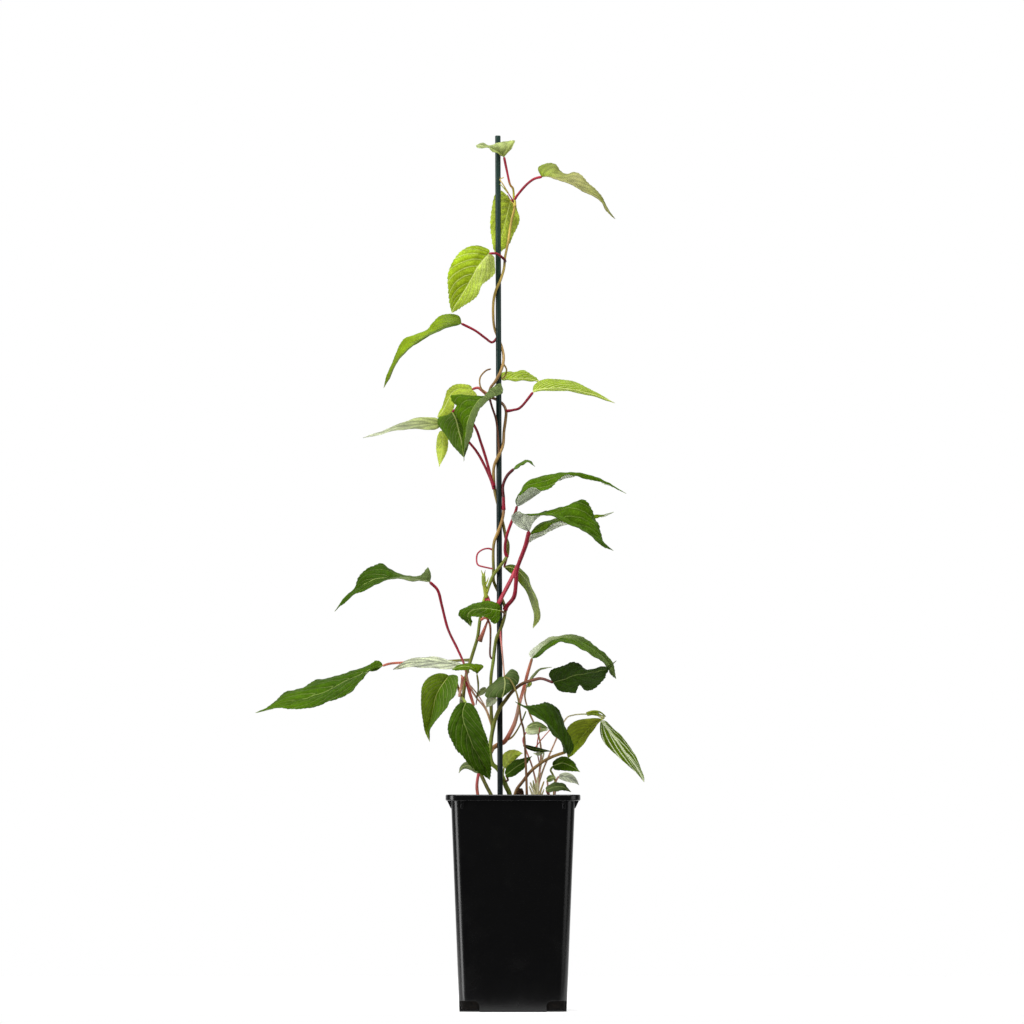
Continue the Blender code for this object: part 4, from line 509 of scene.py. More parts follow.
# Each stem piece is its trunk and what branches from it, as radii, colours along it and the
# points of its path. A branch that names a leaf goes on to that blade's base.
STEMS = {
    "vine_main": (
        Branch(2.0, 1.2, "olive olive olive green olive tan brown tan gold gold",
               ((-20, 6, 190), (-20, 6, 204), (-21, 6, 213), (-27, 7, 225), (-34, 8, 240), (-45, 8, 265),
                (-50, 8, 290), (-50, 8, 310), (-47, 8, 334), (-42, 8, 351), (-37, 7, 367), (-35, 6, 375),
                (-33, 4, 390), (-29, 1, 408), (-23, -3, 427), (-18, -5.5, 437), (-11, -4.5, 446),
                (-6, -1, 454), (-5, 0, 465), (-7, 1, 472), (-10, 4, 486), (-14, 5.2, 502), (-18, 4, 518),
                (-19.5, 0, 535), (-18.5, -4, 545), (-14, -5.5, 555), (-10, -3, 565), (-9, 0, 579),
                (-7.5, 1, 590), (-7, 1, 599), (-10, 4.4, 606), (-17, 4.4, 611), (-23.5, 0, 614),
                (-22.5, -3, 622), (-18, -5.2, 628), (-13, -5.4, 637), (-10, -2.5, 646), (-9.5, 1, 655),
                (-11.5, 4, 664), (-15, 5, 673), (-18.5, 3.5, 682), (-19.8, 0, 694), (-19.5, -2, 709),
                (-17, -4.8, 720), (-12.5, -4.8, 730), (-9, -2, 742), (-8, 0, 753), (-5, 1, 768),
                (-2, 1, 788), (2, 0, 805), (1, -1, 813))),
        Branch(0.8, 1.1, "lime crimson crimson",
               ((1, -1, 812), (0, -2, 822), (-3, -3, 826), (-6, -4, 839)), "leaf_01"),
        Branch(1.0, 1.1, "crimson",
               ((1.5, -1, 811), (5, -3, 816), (13, -7, 825), (21, -10, 831)), "leaf_02"),
        Branch(0.9, 0.9, "salmon", ((1.5, 0, 808), (0.5, 4, 811)), "leaf_03"),
        Branch(1.1, 1.0, "maroon crimson", ((-8, -1, 749), (-9, -6, 751), (-16, -10, 756)), "leaf_04"),
        Branch(1.0, 1.1, "crimson",
               ((-15.5, 5, 673), (-21, 2, 668), (-28, -8, 672), (-38, -14, 679)), "leaf_05"),
        Branch(0.7, 0.6, "tan", ((-10, -1, 647), (-6.5, 4, 641), (-8, 8, 635)), "leaf_06"),
        Branch(1.1, 1.1, "crimson", ((-7, 1, 599), (0, -1, 600), (8, -3, 603)), "leaf_07"),
        Branch(1.6, 1.0, "salmon crimson", ((-24, 0, 614), (-30, 2, 619), (-35, 3, 622.5)), "leaf_08"),
        Branch(1.1, 1.1, "crimson", ((-23.5, -1, 614), (-24.4, -6, 614.5)), "leaf_09"),
        Branch(0.9, 0.8, "brown tan brown",
               ((-24, 0, 614), (-32, -2, 622), (-33, -3, 632), (-27.5, -4, 639), (-22, -6, 641))),
        Branch(1.1, 1.0, "maroon brown",
               ((-23.5, -1, 612), (-21, -6, 603), (-17, -7, 590), (-15, -7, 572), (-14, -5.5, 556))),
        Branch(1.3, 1.0, "crimson",
               ((-19, 1, 524), (-22, 0, 532), (-26, -2, 548), (-32, -4, 567), (-38, -4, 583),
                (-49, -3, 596), (-56, -3, 600.5)), "leaf_10"),
        Branch(1.2, 1.0, "crimson",
               ((-19, 2, 521), (-24, 4, 535), (-34, 6, 555), (-44, 7, 568), (-57, 6, 580)), "leaf_11"),
        Branch(0.7, 0.7, "green lime", ((-57, 6, 580), (-65, 10, 584)), "leaf_12"),
        Branch(1.3, 1.2, "crimson",
               ((-6, -1, 453), (-8, -4, 460), (-6, -6, 475), (2, -9, 496.5)), "leaf_14"),
        Branch(1.8, 1.5, "crimson pink crimson",
               ((-27, 0, 413), (-21, -7, 404), (-15, -8, 406), (-10, -7, 415), (0, -2, 434.5),
                (9, 4, 454)), "leaf_16"),
        Branch(0.9, 0.9, "crimson", ((-6, 0, 454), (-7, 4, 449)), "leaf_17"),
        Branch(1.6, 2.1, "lime green", ((-29, 1, 408), (-27, -2, 418), (-29, -3, 426), (-29.5, -3, 435))),
        Branch(1.2, 1.0, "olive olive salmon salmon",
               ((-42, 8, 350), (-50, 13, 350), (-66, 18, 349), (-82, 19, 348.5), (-100, 16, 348),
                (-110, 12, 347.5), (-118, 3, 347), (-124, -6, 346)), "leaf_20"),
        Branch(0.9, 0.9, "salmon", ((-44.5, 9, 337.5), (-46, 8, 340)), "leaf_21"),
        Branch(1.2, 1.1, "olive brown", ((-50, 8, 308), (-54, 0, 320), (-58, -8, 330)), "leaf_23"),
        Branch(1.3, 1.1, "olive green", ((-50, 8, 297), (-52, -4, 306), (-51, -18, 312)), "leaf_24"),
        Branch(1.2, 0.9, "salmon brown maroon",
               ((-33, 4, 390), (-27, 1, 392), (-23, -1, 385), (-22.5, -1, 372), (-23, -1, 356),
                (-21.5, -2, 351))),
        Branch(1.5, 1.2, "gold lime", ((1.8, -0.5, 804), (1.6, -1, 810), (1, -1, 815))),
        Branch(0.6, 0.5, "maroon crimson", ((1, -1.5, 808), (-2, -2.5, 813), (-5, -3, 817.5))),
        Branch(0.5, 0.4, "green lime", ((-5, -3, 817.5), (-9, -3.5, 822), (-13, -3.6, 826.5))),
        Branch(0.5, 0.4, "gold maroon", ((1, -1, 806), (-3, 0, 811), (-5.5, -0.5, 816))),
        Branch(0.7, 0.5, "gold", ((-5, -3, 817.5), (-10, -5, 826), (-13, -5, 831), (-9, -5, 833))),
        Branch(1.2, 0.2, "lime", ((-29.4, -3, 433), (-30.4, -3.2, 436), (-32, -3.5, 440)), None, 0.0),
        Branch(2.2, 1.2, "lime olive",
               ((-26.5, -3, 412), (-28.5, -3.2, 422), (-29.8, -3.4, 433)), None, 0.0),
        Branch(1.1, 0.2, "lime olive", ((-29.4, -3, 433), (-28.6, -3, 436), (-27.6, -3, 440)), None, 0.0),
        Branch(1.1, 0.3, "lime", ((-28.6, -3, 424), (-26, -3.5, 428), (-24.5, -4, 432.5))),
        Branch(1.1, 0.2, "lime olive", ((-27.5, -3, 416), (-25, -3.5, 420), (-23.2, -4, 424))),
        Branch(2.4, 0.8, "brown salmon maroon",
               ((-33.5, 3, 369), (-30.5, 1, 376), (-26.5, -1, 386), (-24, -1, 392))),
        Branch(1.6, 1.3, "salmon blush", ((-50, -2, 333), (-51.5, -5, 324), (-54, -6, 313))),
        Branch(1.8, 1.5, "crimson salmon", ((-46, 0, 328), (-43.5, -3, 318), (-39, -3, 304))),
        Branch(0.7, 0.6, "tan blush",
               ((-52, 0, 335), (-44, 0, 326), (-35, 0, 315), (-26, 1, 300), (-21, 1, 285))),
        Branch(0.6, 0.6, "maroon", ((-36, 1, 335), (-35, 1, 320), (-37, 1, 305))),
    ),
    "vine_second": (
        Branch(2.3, 1.15, "olive green green olive brown maroon",
               ((-3, 8, 190), (-3, 8, 204), (-3.5, 8, 216), (-7, 8, 224), (-10, 6.5, 232), (-15, 6, 241),
                (-21, 4, 247), (-23, 1, 258), (-21.5, -3, 273), (-18.5, -5.8, 288), (-13.5, -6.4, 301),
                (-8, -6, 309), (-1, -6, 318), (9, -9, 326), (21, -14, 330), (29, -19, 331)), "leaf_29"),
        Branch(1.5, 1.2, "olive olive green olive olive olive tan maroon maroon",
               ((-20, -4, 281), (-21.5, -1, 294), (-22, 1, 312), (-22, 1, 332), (-20, 0, 347),
                (-18.5, -2, 360), (-16.5, -5, 372), (-11.5, -4.8, 383), (-8, -1.5, 396), (-8.5, 2, 404),
                (-12, 5, 413), (-16.5, 4.8, 422), (-19.5, 2, 430), (-19.5, 1, 442), (-19.8, 0, 454),
                (-19, -2.5, 467), (-15, -5.4, 478), (-10.5, -3.5, 491), (-9.3, -1, 501), (-9.5, -1, 512),
                (-10, -1.5, 524), (-6, -3, 534)), "leaf_13"),
        Branch(1.7, 1.7, "crimson", ((-9.3, -1, 500), (-9.5, -1, 514))),
        Branch(1.8, 1.7, "crimson",
               ((-8, -1.5, 400), (-6, -3, 404), (1, -9, 413), (3, -14, 427), (4, -17, 440),
                (12, -22, 463)), "leaf_15"),
        Branch(0.9, 0.9, "brown", ((-8.3, -2, 394), (-9, -7, 397)), "leaf_18"),
        Branch(0.85, 0.85, "crimson pink",
               ((-19.5, 0, 460), (-25, -1, 461.5), (-31, -2, 460), (-35.5, -2, 456), (-36.4, -2, 450),
                (-35, -2, 445), (-29, -1, 443), (-19.5, 0.6, 441))),
        Branch(0.8, 0.8, "pink", ((-22, 1, 305), (-20, -5, 313)), "leaf_27"),
        Branch(2.0, 1.2, "tan salmon blush salmon brown",
               ((-23, 1, 258), (-20, 5, 262), (-14, 7, 266), (-8, 5, 269), (0, 2, 283), (4, 0, 295),
                (6.5, -2, 307), (10, -3, 319), (15, -5, 338)), "leaf_28"),
        Branch(1.0, 0.7, "tan green", ((-8, 5, 269), (0, 4, 274), (8, 6, 287), (13, 6, 299))),
        Branch(0.7, 1.3, "tan blush crimson crimson crimson",
               ((-20.2, -4.2, 279), (-23, -1, 289), (-28, 2, 302), (-37, 0, 313), (-44, -3, 326),
                (-49, -4, 346), (-56, -4, 362), (-65, -4, 381), (-71, -8, 404),
                (-75, -12, 419)), "leaf_19"),
        Branch(0.7, 0.6, "olive", ((-36.5, 0, 312), (-35, -5, 318), (-34.5, -9, 327)), "leaf_22"),
        Branch(0.8, 0.8, "green lime", ((-10.5, 6, 231), (-10, 7, 236)), "leaf_36"),
        Branch(0.8, 0.8, "brown", ((-8.5, 7, 229), (-5, 0, 230)), "leaf_37"),
        Branch(0.9, 0.8, "pink blush blush",
               ((-13, -5.5, 381), (-11, -6, 360), (-9, -6, 338), (-7, -6, 315))),
    ),
    "shoot_left": (
        Branch(1.5, 1.3, "brown salmon pink",
               ((-34, -12, 190), (-34, -12, 206), (-36, -12, 224)), "leaf_25"),
    ),
    "shoot_centre": (
        Branch(1.2, 0.7, "brown brown brown olive",
               ((14, -18, 190), (14, -18, 206), (13, -21, 240), (11, -21, 277), (8, -22, 290),
                (5.5, -23, 309), (2, -23, 321), (-3, -20, 330)), "leaf_26"),
    ),
    "shoot_arched": (
        Branch(1.4, 1.2, "tan brown tan",
               ((1, -12, 190), (1, -12, 206), (3, -13, 219), (10, -16, 229), (19, -19, 240),
                (31, -20, 249), (41, -20, 254)), "leaf_31"),
    ),
    "crown_pale": (
        Branch(3.0, 2.2, "cream", ((24, 8, 190), (24, 8, 204), (24, 8, 214), (23.5, 8, 228))),
        Branch(0.9, 0.7, "blush tan",
               ((24, 8, 222), (27, 16, 243), (28, 21, 262), (24, 18, 280), (17, 12, 296),
                (12, 6, 312)), "leaf_30"),
        Branch(1.1, 0.6, "cream blush blush cream lime",
               ((24, 8, 220), (30, 14, 240), (42, 20, 268), (52, 20, 290), (60, 16, 295), (75, 12, 296),
                (88, 9, 294))),
        Branch(0.9, 0.9, "cream lime", ((86, 9, 294.3), (89, 7, 292.5)), "leaf_33"),
        Branch(0.9, 0.9, "cream lime", ((87, 9, 294.1), (91, 11, 293.5)), "leaf_32"),
        Branch(0.8, 0.6, "blush pink",
               ((23.5, 8, 226), (19, -1, 244), (13, -4, 260), (10, -2, 270)), "leaf_34"),
        Branch(0.8, 0.7, "cream", ((24, 8, 226), (28, 8, 245)), "leaf_35"),
        Branch(1.6, 0.7, "cream", ((23, 6, 205), (20, 4, 214), (16, 3, 224))),
        Branch(1.9, 0.8, "cream", ((24, -4, 205), (22, -7, 216), (17, -8, 228))),
        Branch(1.8, 0.7, "cream gold", ((26, -4, 205), (27, -7, 217), (31, -7, 229))),
        Branch(1.6, 0.6, "cream", ((22, -4, 205), (25, -7, 219), (24, -6, 233))),
        Branch(1.5, 0.6, "cream lime", ((24, 5, 205), (22, 2, 216), (20, 0, 230))),
        Branch(1.5, 0.6, "cream", ((26, 6, 205), (28, 3, 213), (31, 1, 221))),
        Branch(0.7, 0.6, "blush pink", ((25, 8, 215), (27, 4, 240), (24, 2, 262), (27, 1, 283))),
        Branch(0.6, 0.5, "salmon", ((22, 6, 262), (28, 4, 270), (36, 2, 279), (42, 2, 284))),
        Branch(1.8, 0.5, "lime green", ((74, 12, 296), (80, 11, 298.5), (87, 9, 298), (93, 8, 293.5))),
    ),
    "shoots_right": (
        Branch(2.4, 1.8, "blush blush", ((40, -10, 190), (40, -10, 204), (40, -10, 208))),
        Branch(0.9, 0.9, "gold green",
               ((40, -10, 205), (41, -8, 219), (42, -5, 229), (39, -4, 237), (37.5, -4, 240)), "leaf_38"),
        Branch(0.8, 0.8, "blush", ((40, -10, 206), (42, -13, 218), (43, -14.6, 229)), "leaf_39"),
        Branch(0.8, 0.8, "blush", ((40, -10, 206), (36, -13, 216)), "leaf_40"),
        Branch(0.9, 0.9, "salmon", ((40, -10, 206), (38, -20, 211), (35, -26, 216)), "leaf_41"),
    ),
}


def clear_selection():
    bpy.ops.object.select_all(action="DESELECT")


def select_only(*items):
    """Leaves just these pieces selected, and the first of them active."""
    clear_selection()
    for item in items:
        item.select_set(True)
    bpy.context.view_layer.objects.active = items[0]


def added(operator, **settings):
    """Adds one of Blender's own shapes, and returns it."""
    clear_selection()
    operator(**settings)
    return bpy.context.object


def joined(items):
    """The pieces made one."""
    select_only(*items)
    if len(items) > 1:
        bpy.ops.object.join()
    return bpy.context.object


def coat(item, *finishes):
    """Gives a piece its materials, in order."""
    item.data.materials.clear()
    for finish in finishes:
        item.data.materials.append(finish)


def smooth_below(degrees):
    bpy.ops.object.shade_smooth_by_angle(angle=math.radians(degrees))


def finished(item, name, slot, *nodes):
    """Names a piece, hangs it from the root and hides the part's nodes that it stands for. Its slot is not
    used.
    """
    item.name = name
    item.data.name = name
    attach(item, "root")
    if nodes:
        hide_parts(*nodes)


def edit_all(operator, **settings):
    """Runs a mesh operator on the whole of the active piece."""
    bpy.ops.object.mode_set(mode="EDIT")
    bpy.ops.mesh.select_all(action="SELECT")
    operator(**settings)
    bpy.ops.object.mode_set(mode="OBJECT")


def pick(item, kind, wanted):
    """Goes into edit mode with the edges or faces selected whose corners the test wants."""
    select_only(item)
    bpy.ops.object.mode_set(mode="EDIT")
    bpy.ops.mesh.select_mode(type=kind)
    bpy.ops.mesh.select_all(action="DESELECT")
    bpy.ops.object.mode_set(mode="OBJECT")
    mesh = item.data
    for part in mesh.edges if kind == "EDGE" else mesh.polygons:
        part.select = bool(wanted([mesh.vertices[index].co for index in part.vertices]))
    bpy.ops.object.mode_set(mode="EDIT")


def round_edges(item, radius, steps, wanted):
    """Rounds the edges whose ends the test wants."""
    pick(item, "EDGE", wanted)
    bpy.ops.mesh.bevel(offset=radius * MM, segments=steps, profile=0.5, affect="EDGES")
    bpy.ops.object.mode_set(mode="OBJECT")


def cut(item, normal, distance, wanted=lambda corners: True):
    """Cuts the faces that the test wants where they cross a plane that far from the origin."""
    pick(item, "FACE", wanted)
    bpy.ops.mesh.bisect(plane_co=Vector(normal) * distance * MM, plane_no=normal)
    bpy.ops.object.mode_set(mode="OBJECT")


def applied(item, kind, **settings):
    """Adds a modifier to the piece and applies it."""
    select_only(item)
    modifier = item.modifiers.new(kind.title(), kind)
    for key, value in settings.items():
        setattr(modifier, key, value)
    bpy.ops.object.modifier_apply(modifier=modifier.name)


def boolean(item, other, operation):
    applied(item, "BOOLEAN", operation=operation, object=other, solver="EXACT")
    bpy.data.objects.remove(other, do_unlink=True)


def paint(mesh, name, values):
    """Gives each point of a mesh its number or colour."""
    kind, key = ("FLOAT_COLOR", "color") if isinstance(values[0], tuple) else ("FLOAT", "value")
    for spot, value in zip(mesh.attributes.new(name, kind, "POINT").data, values):
        setattr(spot, key, value)


# Curves and shares.


def spline_points(points, step=STEM_STEP):
    """Points about a step apart on the smooth curve through the given ones."""
    knots = [Vector(point) for point in points]
    knots = [2 * knots[0] - knots[1], *knots, 2 * knots[-1] - knots[-2]]
    found = []
    for before, start, end, after in zip(knots, knots[1:], knots[2:], knots[3:]):
        count = max(1, round((end - start).length / step))
        for index in range(count):
            t = index / count
            found.append(0.5 * (2 * start + (end - before) * t
                                + (2 * before - 5 * start + 4 * end - after) * t * t
                                + (3 * start - before - 3 * end + after) * t ** 3))
    return [*found, knots[-2]]


def along(path, share):
    """The point and direction at a share of a path's length."""
    lengths = [(end - start).length for start, end in zip(path, path[1:])]
    left = share * sum(lengths)
    index = 0
    while left > lengths[index] and index < len(lengths) - 1:
        left -= lengths[index]
        index += 1
    start, end = path[index], path[index + 1]
    return start.lerp(end, left / lengths[index]), (end - start).normalized()


def ease(low, high, value):
    """0 below low, 1 above high, and smooth between."""
    value = min(1.0, max(0.0, (value - low) / (high - low)))
    return value * value * (3 - 2 * value)


def step_of(share, count):
    """Which of count even steps a share falls in, and how far through that step it is."""
    place = min(max(share, 0.0), 1.0) * count
    index = min(int(place), count - 1)
    return index, place - index


def colour_at(colours, share, light):
    """The colour at a share of the way through colours at even steps, made lighter or darker."""
    index, rest = step_of(share, len(colours) - 1)
    mixed = (a + (b - a) * rest for a, b in zip(colours[index], colours[index + 1]))
    return (*(level * light for level in mixed), 1.0)


def colours_named(text, table):
    """The colours that a text names, at least two of them."""
    colours = [table[name] for name in text.split()]
    return colours if len(colours) > 1 else colours * 2


# Materials.


class Signal:
    """A number or colour inside a finish. Sums on it add Math nodes."""

    def __init__(self, nodes, socket):
        self.nodes = nodes
        self.socket = socket

    def math(self, operation, *others):
        return self.nodes.node("ShaderNodeMath", {"operation": operation}, (self, *others))

    def __add__(self, other):
        return self.math("ADD", other)

    def __sub__(self, other):
        return self.math("SUBTRACT", other)

    def __rsub__(self, other):
        return self.nodes.node("ShaderNodeMath", {"operation": "SUBTRACT"}, (other, self))

    def __mul__(self, other):
        return self.math("MULTIPLY", other)

    __radd__ = __add__
    __rmul__ = __mul__

    def over(self, low, high, start=0.0, end=1.0):
        """The start where this is under low, the end over high, and smooth between."""
        return self.nodes.node("ShaderNodeMapRange", {"interpolation_type": "SMOOTHSTEP"},
                               (self, low, high, start, end))


class Nodes:
    """The nodes of a material or of the world."""

    def __init__(self, tree):
        self.tree = tree

    def node(self, kind, settings=None, inputs=(), output=0):
        """Adds a node: its settings first, then what its sockets hold or take."""
        made = self.tree.nodes.new(kind)
        for key, value in (settings or {}).items():
            setattr(made, key, value)
        for key, value in inputs.items() if isinstance(inputs, dict) else enumerate(inputs):
            if isinstance(value, Signal):
                self.tree.links.new(value.socket, made.inputs[key])
            else:
                made.inputs[key].default_value = value
        return Signal(self, made.outputs[output])

    def show(self, surface):
        """Sends a shader to the output."""
        output = next(node for node in self.tree.nodes if node.type.startswith("OUTPUT"))
        self.tree.links.new(surface.socket, output.inputs["Surface"])


class Finish(Nodes):
    """A material in the making."""

    def __init__(self, name, roughness, specular=0.5):
        self.material = bpy.data.materials.new(name)
        self.material.use_nodes = True
        super().__init__(self.material.node_tree)
        self.shader = self.tree.nodes["Principled BSDF"]
        self.shader.inputs["Roughness"].default_value = roughness
        self.shader.inputs["Specular IOR Level"].default_value = specular

    def feed(self, socket, value):
        self.tree.links.new(value.socket, self.shader.inputs[socket])

    def place(self):
        return self.node("ShaderNodeTexCoord", output="Object")

    def height(self):
        return self.node("ShaderNodeSeparateXYZ", {}, {"Vector": self.place()}, output="Z")

    def speckle(self, scale, detail=3.0, vector=None):
        return self.node("ShaderNodeTexNoise", {},
                         {"Vector": vector or self.place(), "Scale": scale, "Detail": detail})

    def streak(self, scale, detail):
        """Speckles with a scale of their own along each axis."""
        vector = self.node("ShaderNodeMapping", {}, {"Vector": self.place(), "Scale": scale})
        return self.speckle(1.0, detail, vector)

    def cells(self, scale, feature="F1"):
        return self.node("ShaderNodeTexVoronoi", {"feature": feature},
                         {"Vector": self.place(), "Scale": scale})

    def painted(self, name, output="Color"):
        return self.node("ShaderNodeAttribute", {"attribute_name": name}, output=output)

    def mix(self, share, first, second, how="MIX"):
        return self.node("ShaderNodeMix", {"data_type": "RGBA", "blend_type": how},
                         {0: share, 6: first, 7: second}, output=2)

    def brighter(self, colour, by):
        """The colour times a number that varies."""
        return self.node("ShaderNodeVectorMath", {"operation": "SCALE"}, {0: colour, 3: by})

    def bump(self, height, distance, strength=1.0):
        self.feed("Normal", self.node("ShaderNodeBump", {}, {
            "Height": height, "Distance": distance, "Strength": strength}))

    def translucent(self, colour, share):
        """Lets a share of the light through, in the given colour."""
        through = self.node("ShaderNodeBsdfTranslucent", {}, {"Color": colour})
        self.show(self.node("ShaderNodeMixShader", {}, (
            share, Signal(self, self.shader.outputs[0]), through)))


def blade_finish(kind, side):
    """A leaf's side: its colour, pale veins with a ladder of fine ones between, and mottling."""
    look = BLADE_LOOKS[kind, side]
    finish = Finish(f"{kind}_{side}", look.roughness, look.specular)
    rib, show, vein = (finish.painted(name, "Fac") for name in ("rib", "vein_show", "vein"))
    bold = show.math("ABSOLUTE")
    bolder = (bold - 1.0).math("MAXIMUM", 0.0)
    # A side vein runs where the painted count is halfway between two whole numbers.
    from_line = (vein.math("FRACT") - 0.5).math("ABSOLUTE")
    side_vein = 1.0 - from_line.over(bold * 0.02, bold * 0.09 + 0.025)
    side_vein = side_vein * finish.speckle(50, 2.0).over(0.2, 0.45)
    midrib = 1.0 - rib.over(0.3, bold * 0.4 + bolder * 2.5 + 0.65)
    lines = (side_vein * 0.85).math("MAXIMUM", midrib * 1.8)
    net = (1.0 - finish.cells(360, "DISTANCE_TO_EDGE").over(0.02, 0.13)) * (1.0 - lines)
    net_show = (show.math("MINIMUM", 0.5) - bolder * 0.4).math("MAXIMUM", -0.35)
    mottle = finish.speckle(110, 3.0) * 0.8 + finish.speckle(430, 2.0) * 0.2 + 0.5
    shade = mottle * (lines * show * 0.9 + net * net_show * 0.6 + 0.96)
    colour = finish.brighter(finish.painted(side), shade)
    tinted = (lines * show * look.vein_share).math("MAXIMUM", 0.0)
    colour = finish.mix(tinted, colour, look.vein_tint)
    finish.feed("Base Color", colour)
    finish.bump(finish.speckle(700, 3.0) * 0.4 - net * 0.8 - lines * 0.9, 0.0005, look.relief)
    finish.translucent(finish.mix(1.0, colour, look.light, "MULTIPLY"), look.through)
    return finish.material


def stem_finish():
    """Bark with fine streaks along the stem and small pale dots."""
    finish = Finish("living_stem", 0.5, 0.4)
    streak = finish.streak((900, 900, 120), 3.0)
    dot = 1.0 - finish.cells(520).over(0.12, 0.28)
    colour = finish.brighter(finish.painted("tint"), streak * 0.5 + 0.75)
    finish.feed("Base Color", finish.mix(dot * 0.12, colour, (0.75, 0.65, 0.45, 1.0)))
    finish.bump(streak + dot * 0.4, 0.0002, 0.6)
    return finish.material


def pot_finish():
    """Black moulded plastic: a fine skin with a little dust and scuffing."""
    finish = Finish("moulded_black", 0.3, 0.5)
    dust = finish.speckle(34, 5.0).over(0.52, 0.8)
    scuff = finish.streak((420, 420, 9), 4.0).over(0.62, 0.78)
    finish.feed("Base Color", finish.mix(dust * 0.3 + scuff * 0.2, (0.0005, 0.0005, 0.0007, 1.0),
                                         (0.004, 0.0039, 0.0036, 1.0)))
    finish.feed("Roughness", finish.speckle(60, 3.0) * 0.08 + dust * 0.06 + 0.2)
    finish.bump(finish.speckle(1400, 2.0), 0.00008, 0.35)
    return finish.material


def stake_finish():
    """Blue-green plastic coat, a little chalky, darker at the bottom and lighter towards the top."""
    finish = Finish("coated_stake", 0.4, 0.28)
    lighter_higher = finish.height().over(0.35, 0.86)
    colour = finish.mix(lighter_higher, (*srgb(0, 19, 22), 1.0), (*srgb(30, 56, 48), 1.0))
    chalk = finish.streak((500, 500, 60), 4.0).over(0.45, 0.8)
    finish.feed("Base Color", finish.mix(chalk * 0.12, colour, (*srgb(100, 118, 112), 1.0)))
    finish.feed("Roughness", chalk * 0.25 + 0.34)
    finish.bump(finish.speckle(700, 3.0), 0.00012, 0.5)
    return finish.material


def soil_finish(name, dark, light):
    """Grains between two colours, in lighter and damper patches, with painted shade darkening them further
    down in the pot.
    """
    finish = Finish(name, 0.95, 0.2)
    grain = finish.speckle(420, 5.0)
    patch = finish.speckle(60, 3.0).over(0.35, 0.7)
    colour = finish.mix(grain.over(0.35, 0.7), (*dark, 1.0), (*light, 1.0))
    # Painted shade: the soil darkens lower down, where it lies in shadow inside the pot and behind the
    # drain openings.
    painted_low_shade = finish.height().over(0.05, 0.198) * 0.94 + 0.06
    finish.feed("Base Color", finish.brighter(colour, (patch * 0.6 + 0.6) * painted_low_shade))
    finish.bump(grain + finish.speckle(1500, 2.0) * 0.5, 0.0008, 1.0)
    return finish.material


# Leaves.


def half_width(share, peak):
    """How wide an ovate blade with a drawn-out tip is there, as a share of its widest."""
    if share < peak:
        return math.sin(math.pi / 2 * (share / peak) ** BASE_FULLNESS)
    return max(0.0, math.cos(math.pi / 2 * (share - peak) / (1 - peak))) ** TIP_DRAWN_OUT


def sloped_cut(path, share):
    """A cut across a blade of widths and slopes: a point of its midrib and three directions."""
    place, forward = along(path, share)
    sideways = forward.cross(Vector((0, -1, 0))).normalized()
    return place, forward, sideways, sideways.cross(forward).normalized(), share


def sloped_place(leaf, row, across):
    """A point of a blade of widths and slopes, and its distance from the midrib."""
    place, forward, sideways, towards, share = row
    side = 1 if across > 0 else -1
    width, *slopes = leaf.right if side > 0 else leaf.left
    index, rest = step_of(share, len(slopes) - 1)
    slope = slopes[index] + (slopes[index + 1] - slopes[index]) * ease(0, 1, rest)
    angle = math.radians(slope + MARGIN_CURL * abs(across) / 2)
    reach = width * half_width(share, leaf.peak) * abs(across)
    sweep = leaf.lobe * max(0.0, 1 - share / LOBE_END) ** 2 * reach
    point = place - sweep * forward + reach * (side * math.cos(angle) * sideways
                                               + math.sin(angle) * towards)
    return point, reach


def drawn_place(row, across):
    """The same, of a blade whose margins pass the points that its halves give."""
    place, forward, right, left = row
    reach = (right if across > 0 else left) - place
    up = reach.cross(forward) if across > 0 else forward.cross(reach)
    arch = 4 * ARCH * reach.length * abs(across) * (1 - abs(across))
    return place + reach * abs(across) + up.normalized() * arch, reach.length * abs(across)


def blade_cuts(leaf, count):
    """The cuts across a blade, base to tip."""
    path = spline_points(leaf.spine)
    shares = [index / count for index in range(count + 1)]
    if not isinstance(leaf.right[0], tuple):
        return [sloped_cut(path, share) for share in shares]
    margins = [spline_points((leaf.spine[0], *half, leaf.spine[-1]))
               for half in (leaf.right, leaf.left)]
    return [(*along(path, share ** FAN), *(along(edge, share)[0] for edge in margins))
            for share in shares]


def blade_place(leaf, row, across):
    """A point of the smooth blade, on one of its cuts, and its distance from the midrib."""
    if isinstance(leaf.right[0], tuple):
        return drawn_place(row, across)
    return sloped_place(leaf, row, across)


def half_colours(text):
    """The right and left halves' colours from base to tip, as a leaf's entry gives them."""
    halves = [colours_named(half, BLADE_COLOURS) for half in text.split("|")]
    return halves * 2 if len(halves) == 1 else halves


def tooth_reach(seed, step, side, reach, scale):
    """How far the margin's teeth stand out there."""
    jitter = 1 + TOOTH_JITTER * noise.noise(Vector((seed, step // ROWS_A_TOOTH * 0.7, side)))
    rise = TOOTH_RISE[step % ROWS_A_TOOTH] * TOOTH * scale ** 0.4
    return rise * jitter * min(1.0, reach / 4)


def blade_relief(seed, point, across, share, reach, ridge, scale):
    """How far the blade stands out there: quilting, rumples, the midrib's groove and waves."""
    edge = abs(across) ** 3
    quilt = PUFF * scale * ridge * ease(0, 0.3, abs(across)) * (1 - 0.6 * edge)
    quilt += RUMPLE * scale * noise.noise(point * 0.16 + Vector((seed, 0, 0)))
    quilt -= GROOVE * scale ** 0.5 * (1 - ease(*GROOVE_EDGE, reach))
    turns = math.tau * (share * WAVES + seed * 0.37) + (1.7 if across > 0 else 0)
    wave = WAVE * scale * edge * math.sin(turns)
    return (quilt + wave) * ease(*FADE_IN, share) * (1 - ease(*FADE_OUT, share))


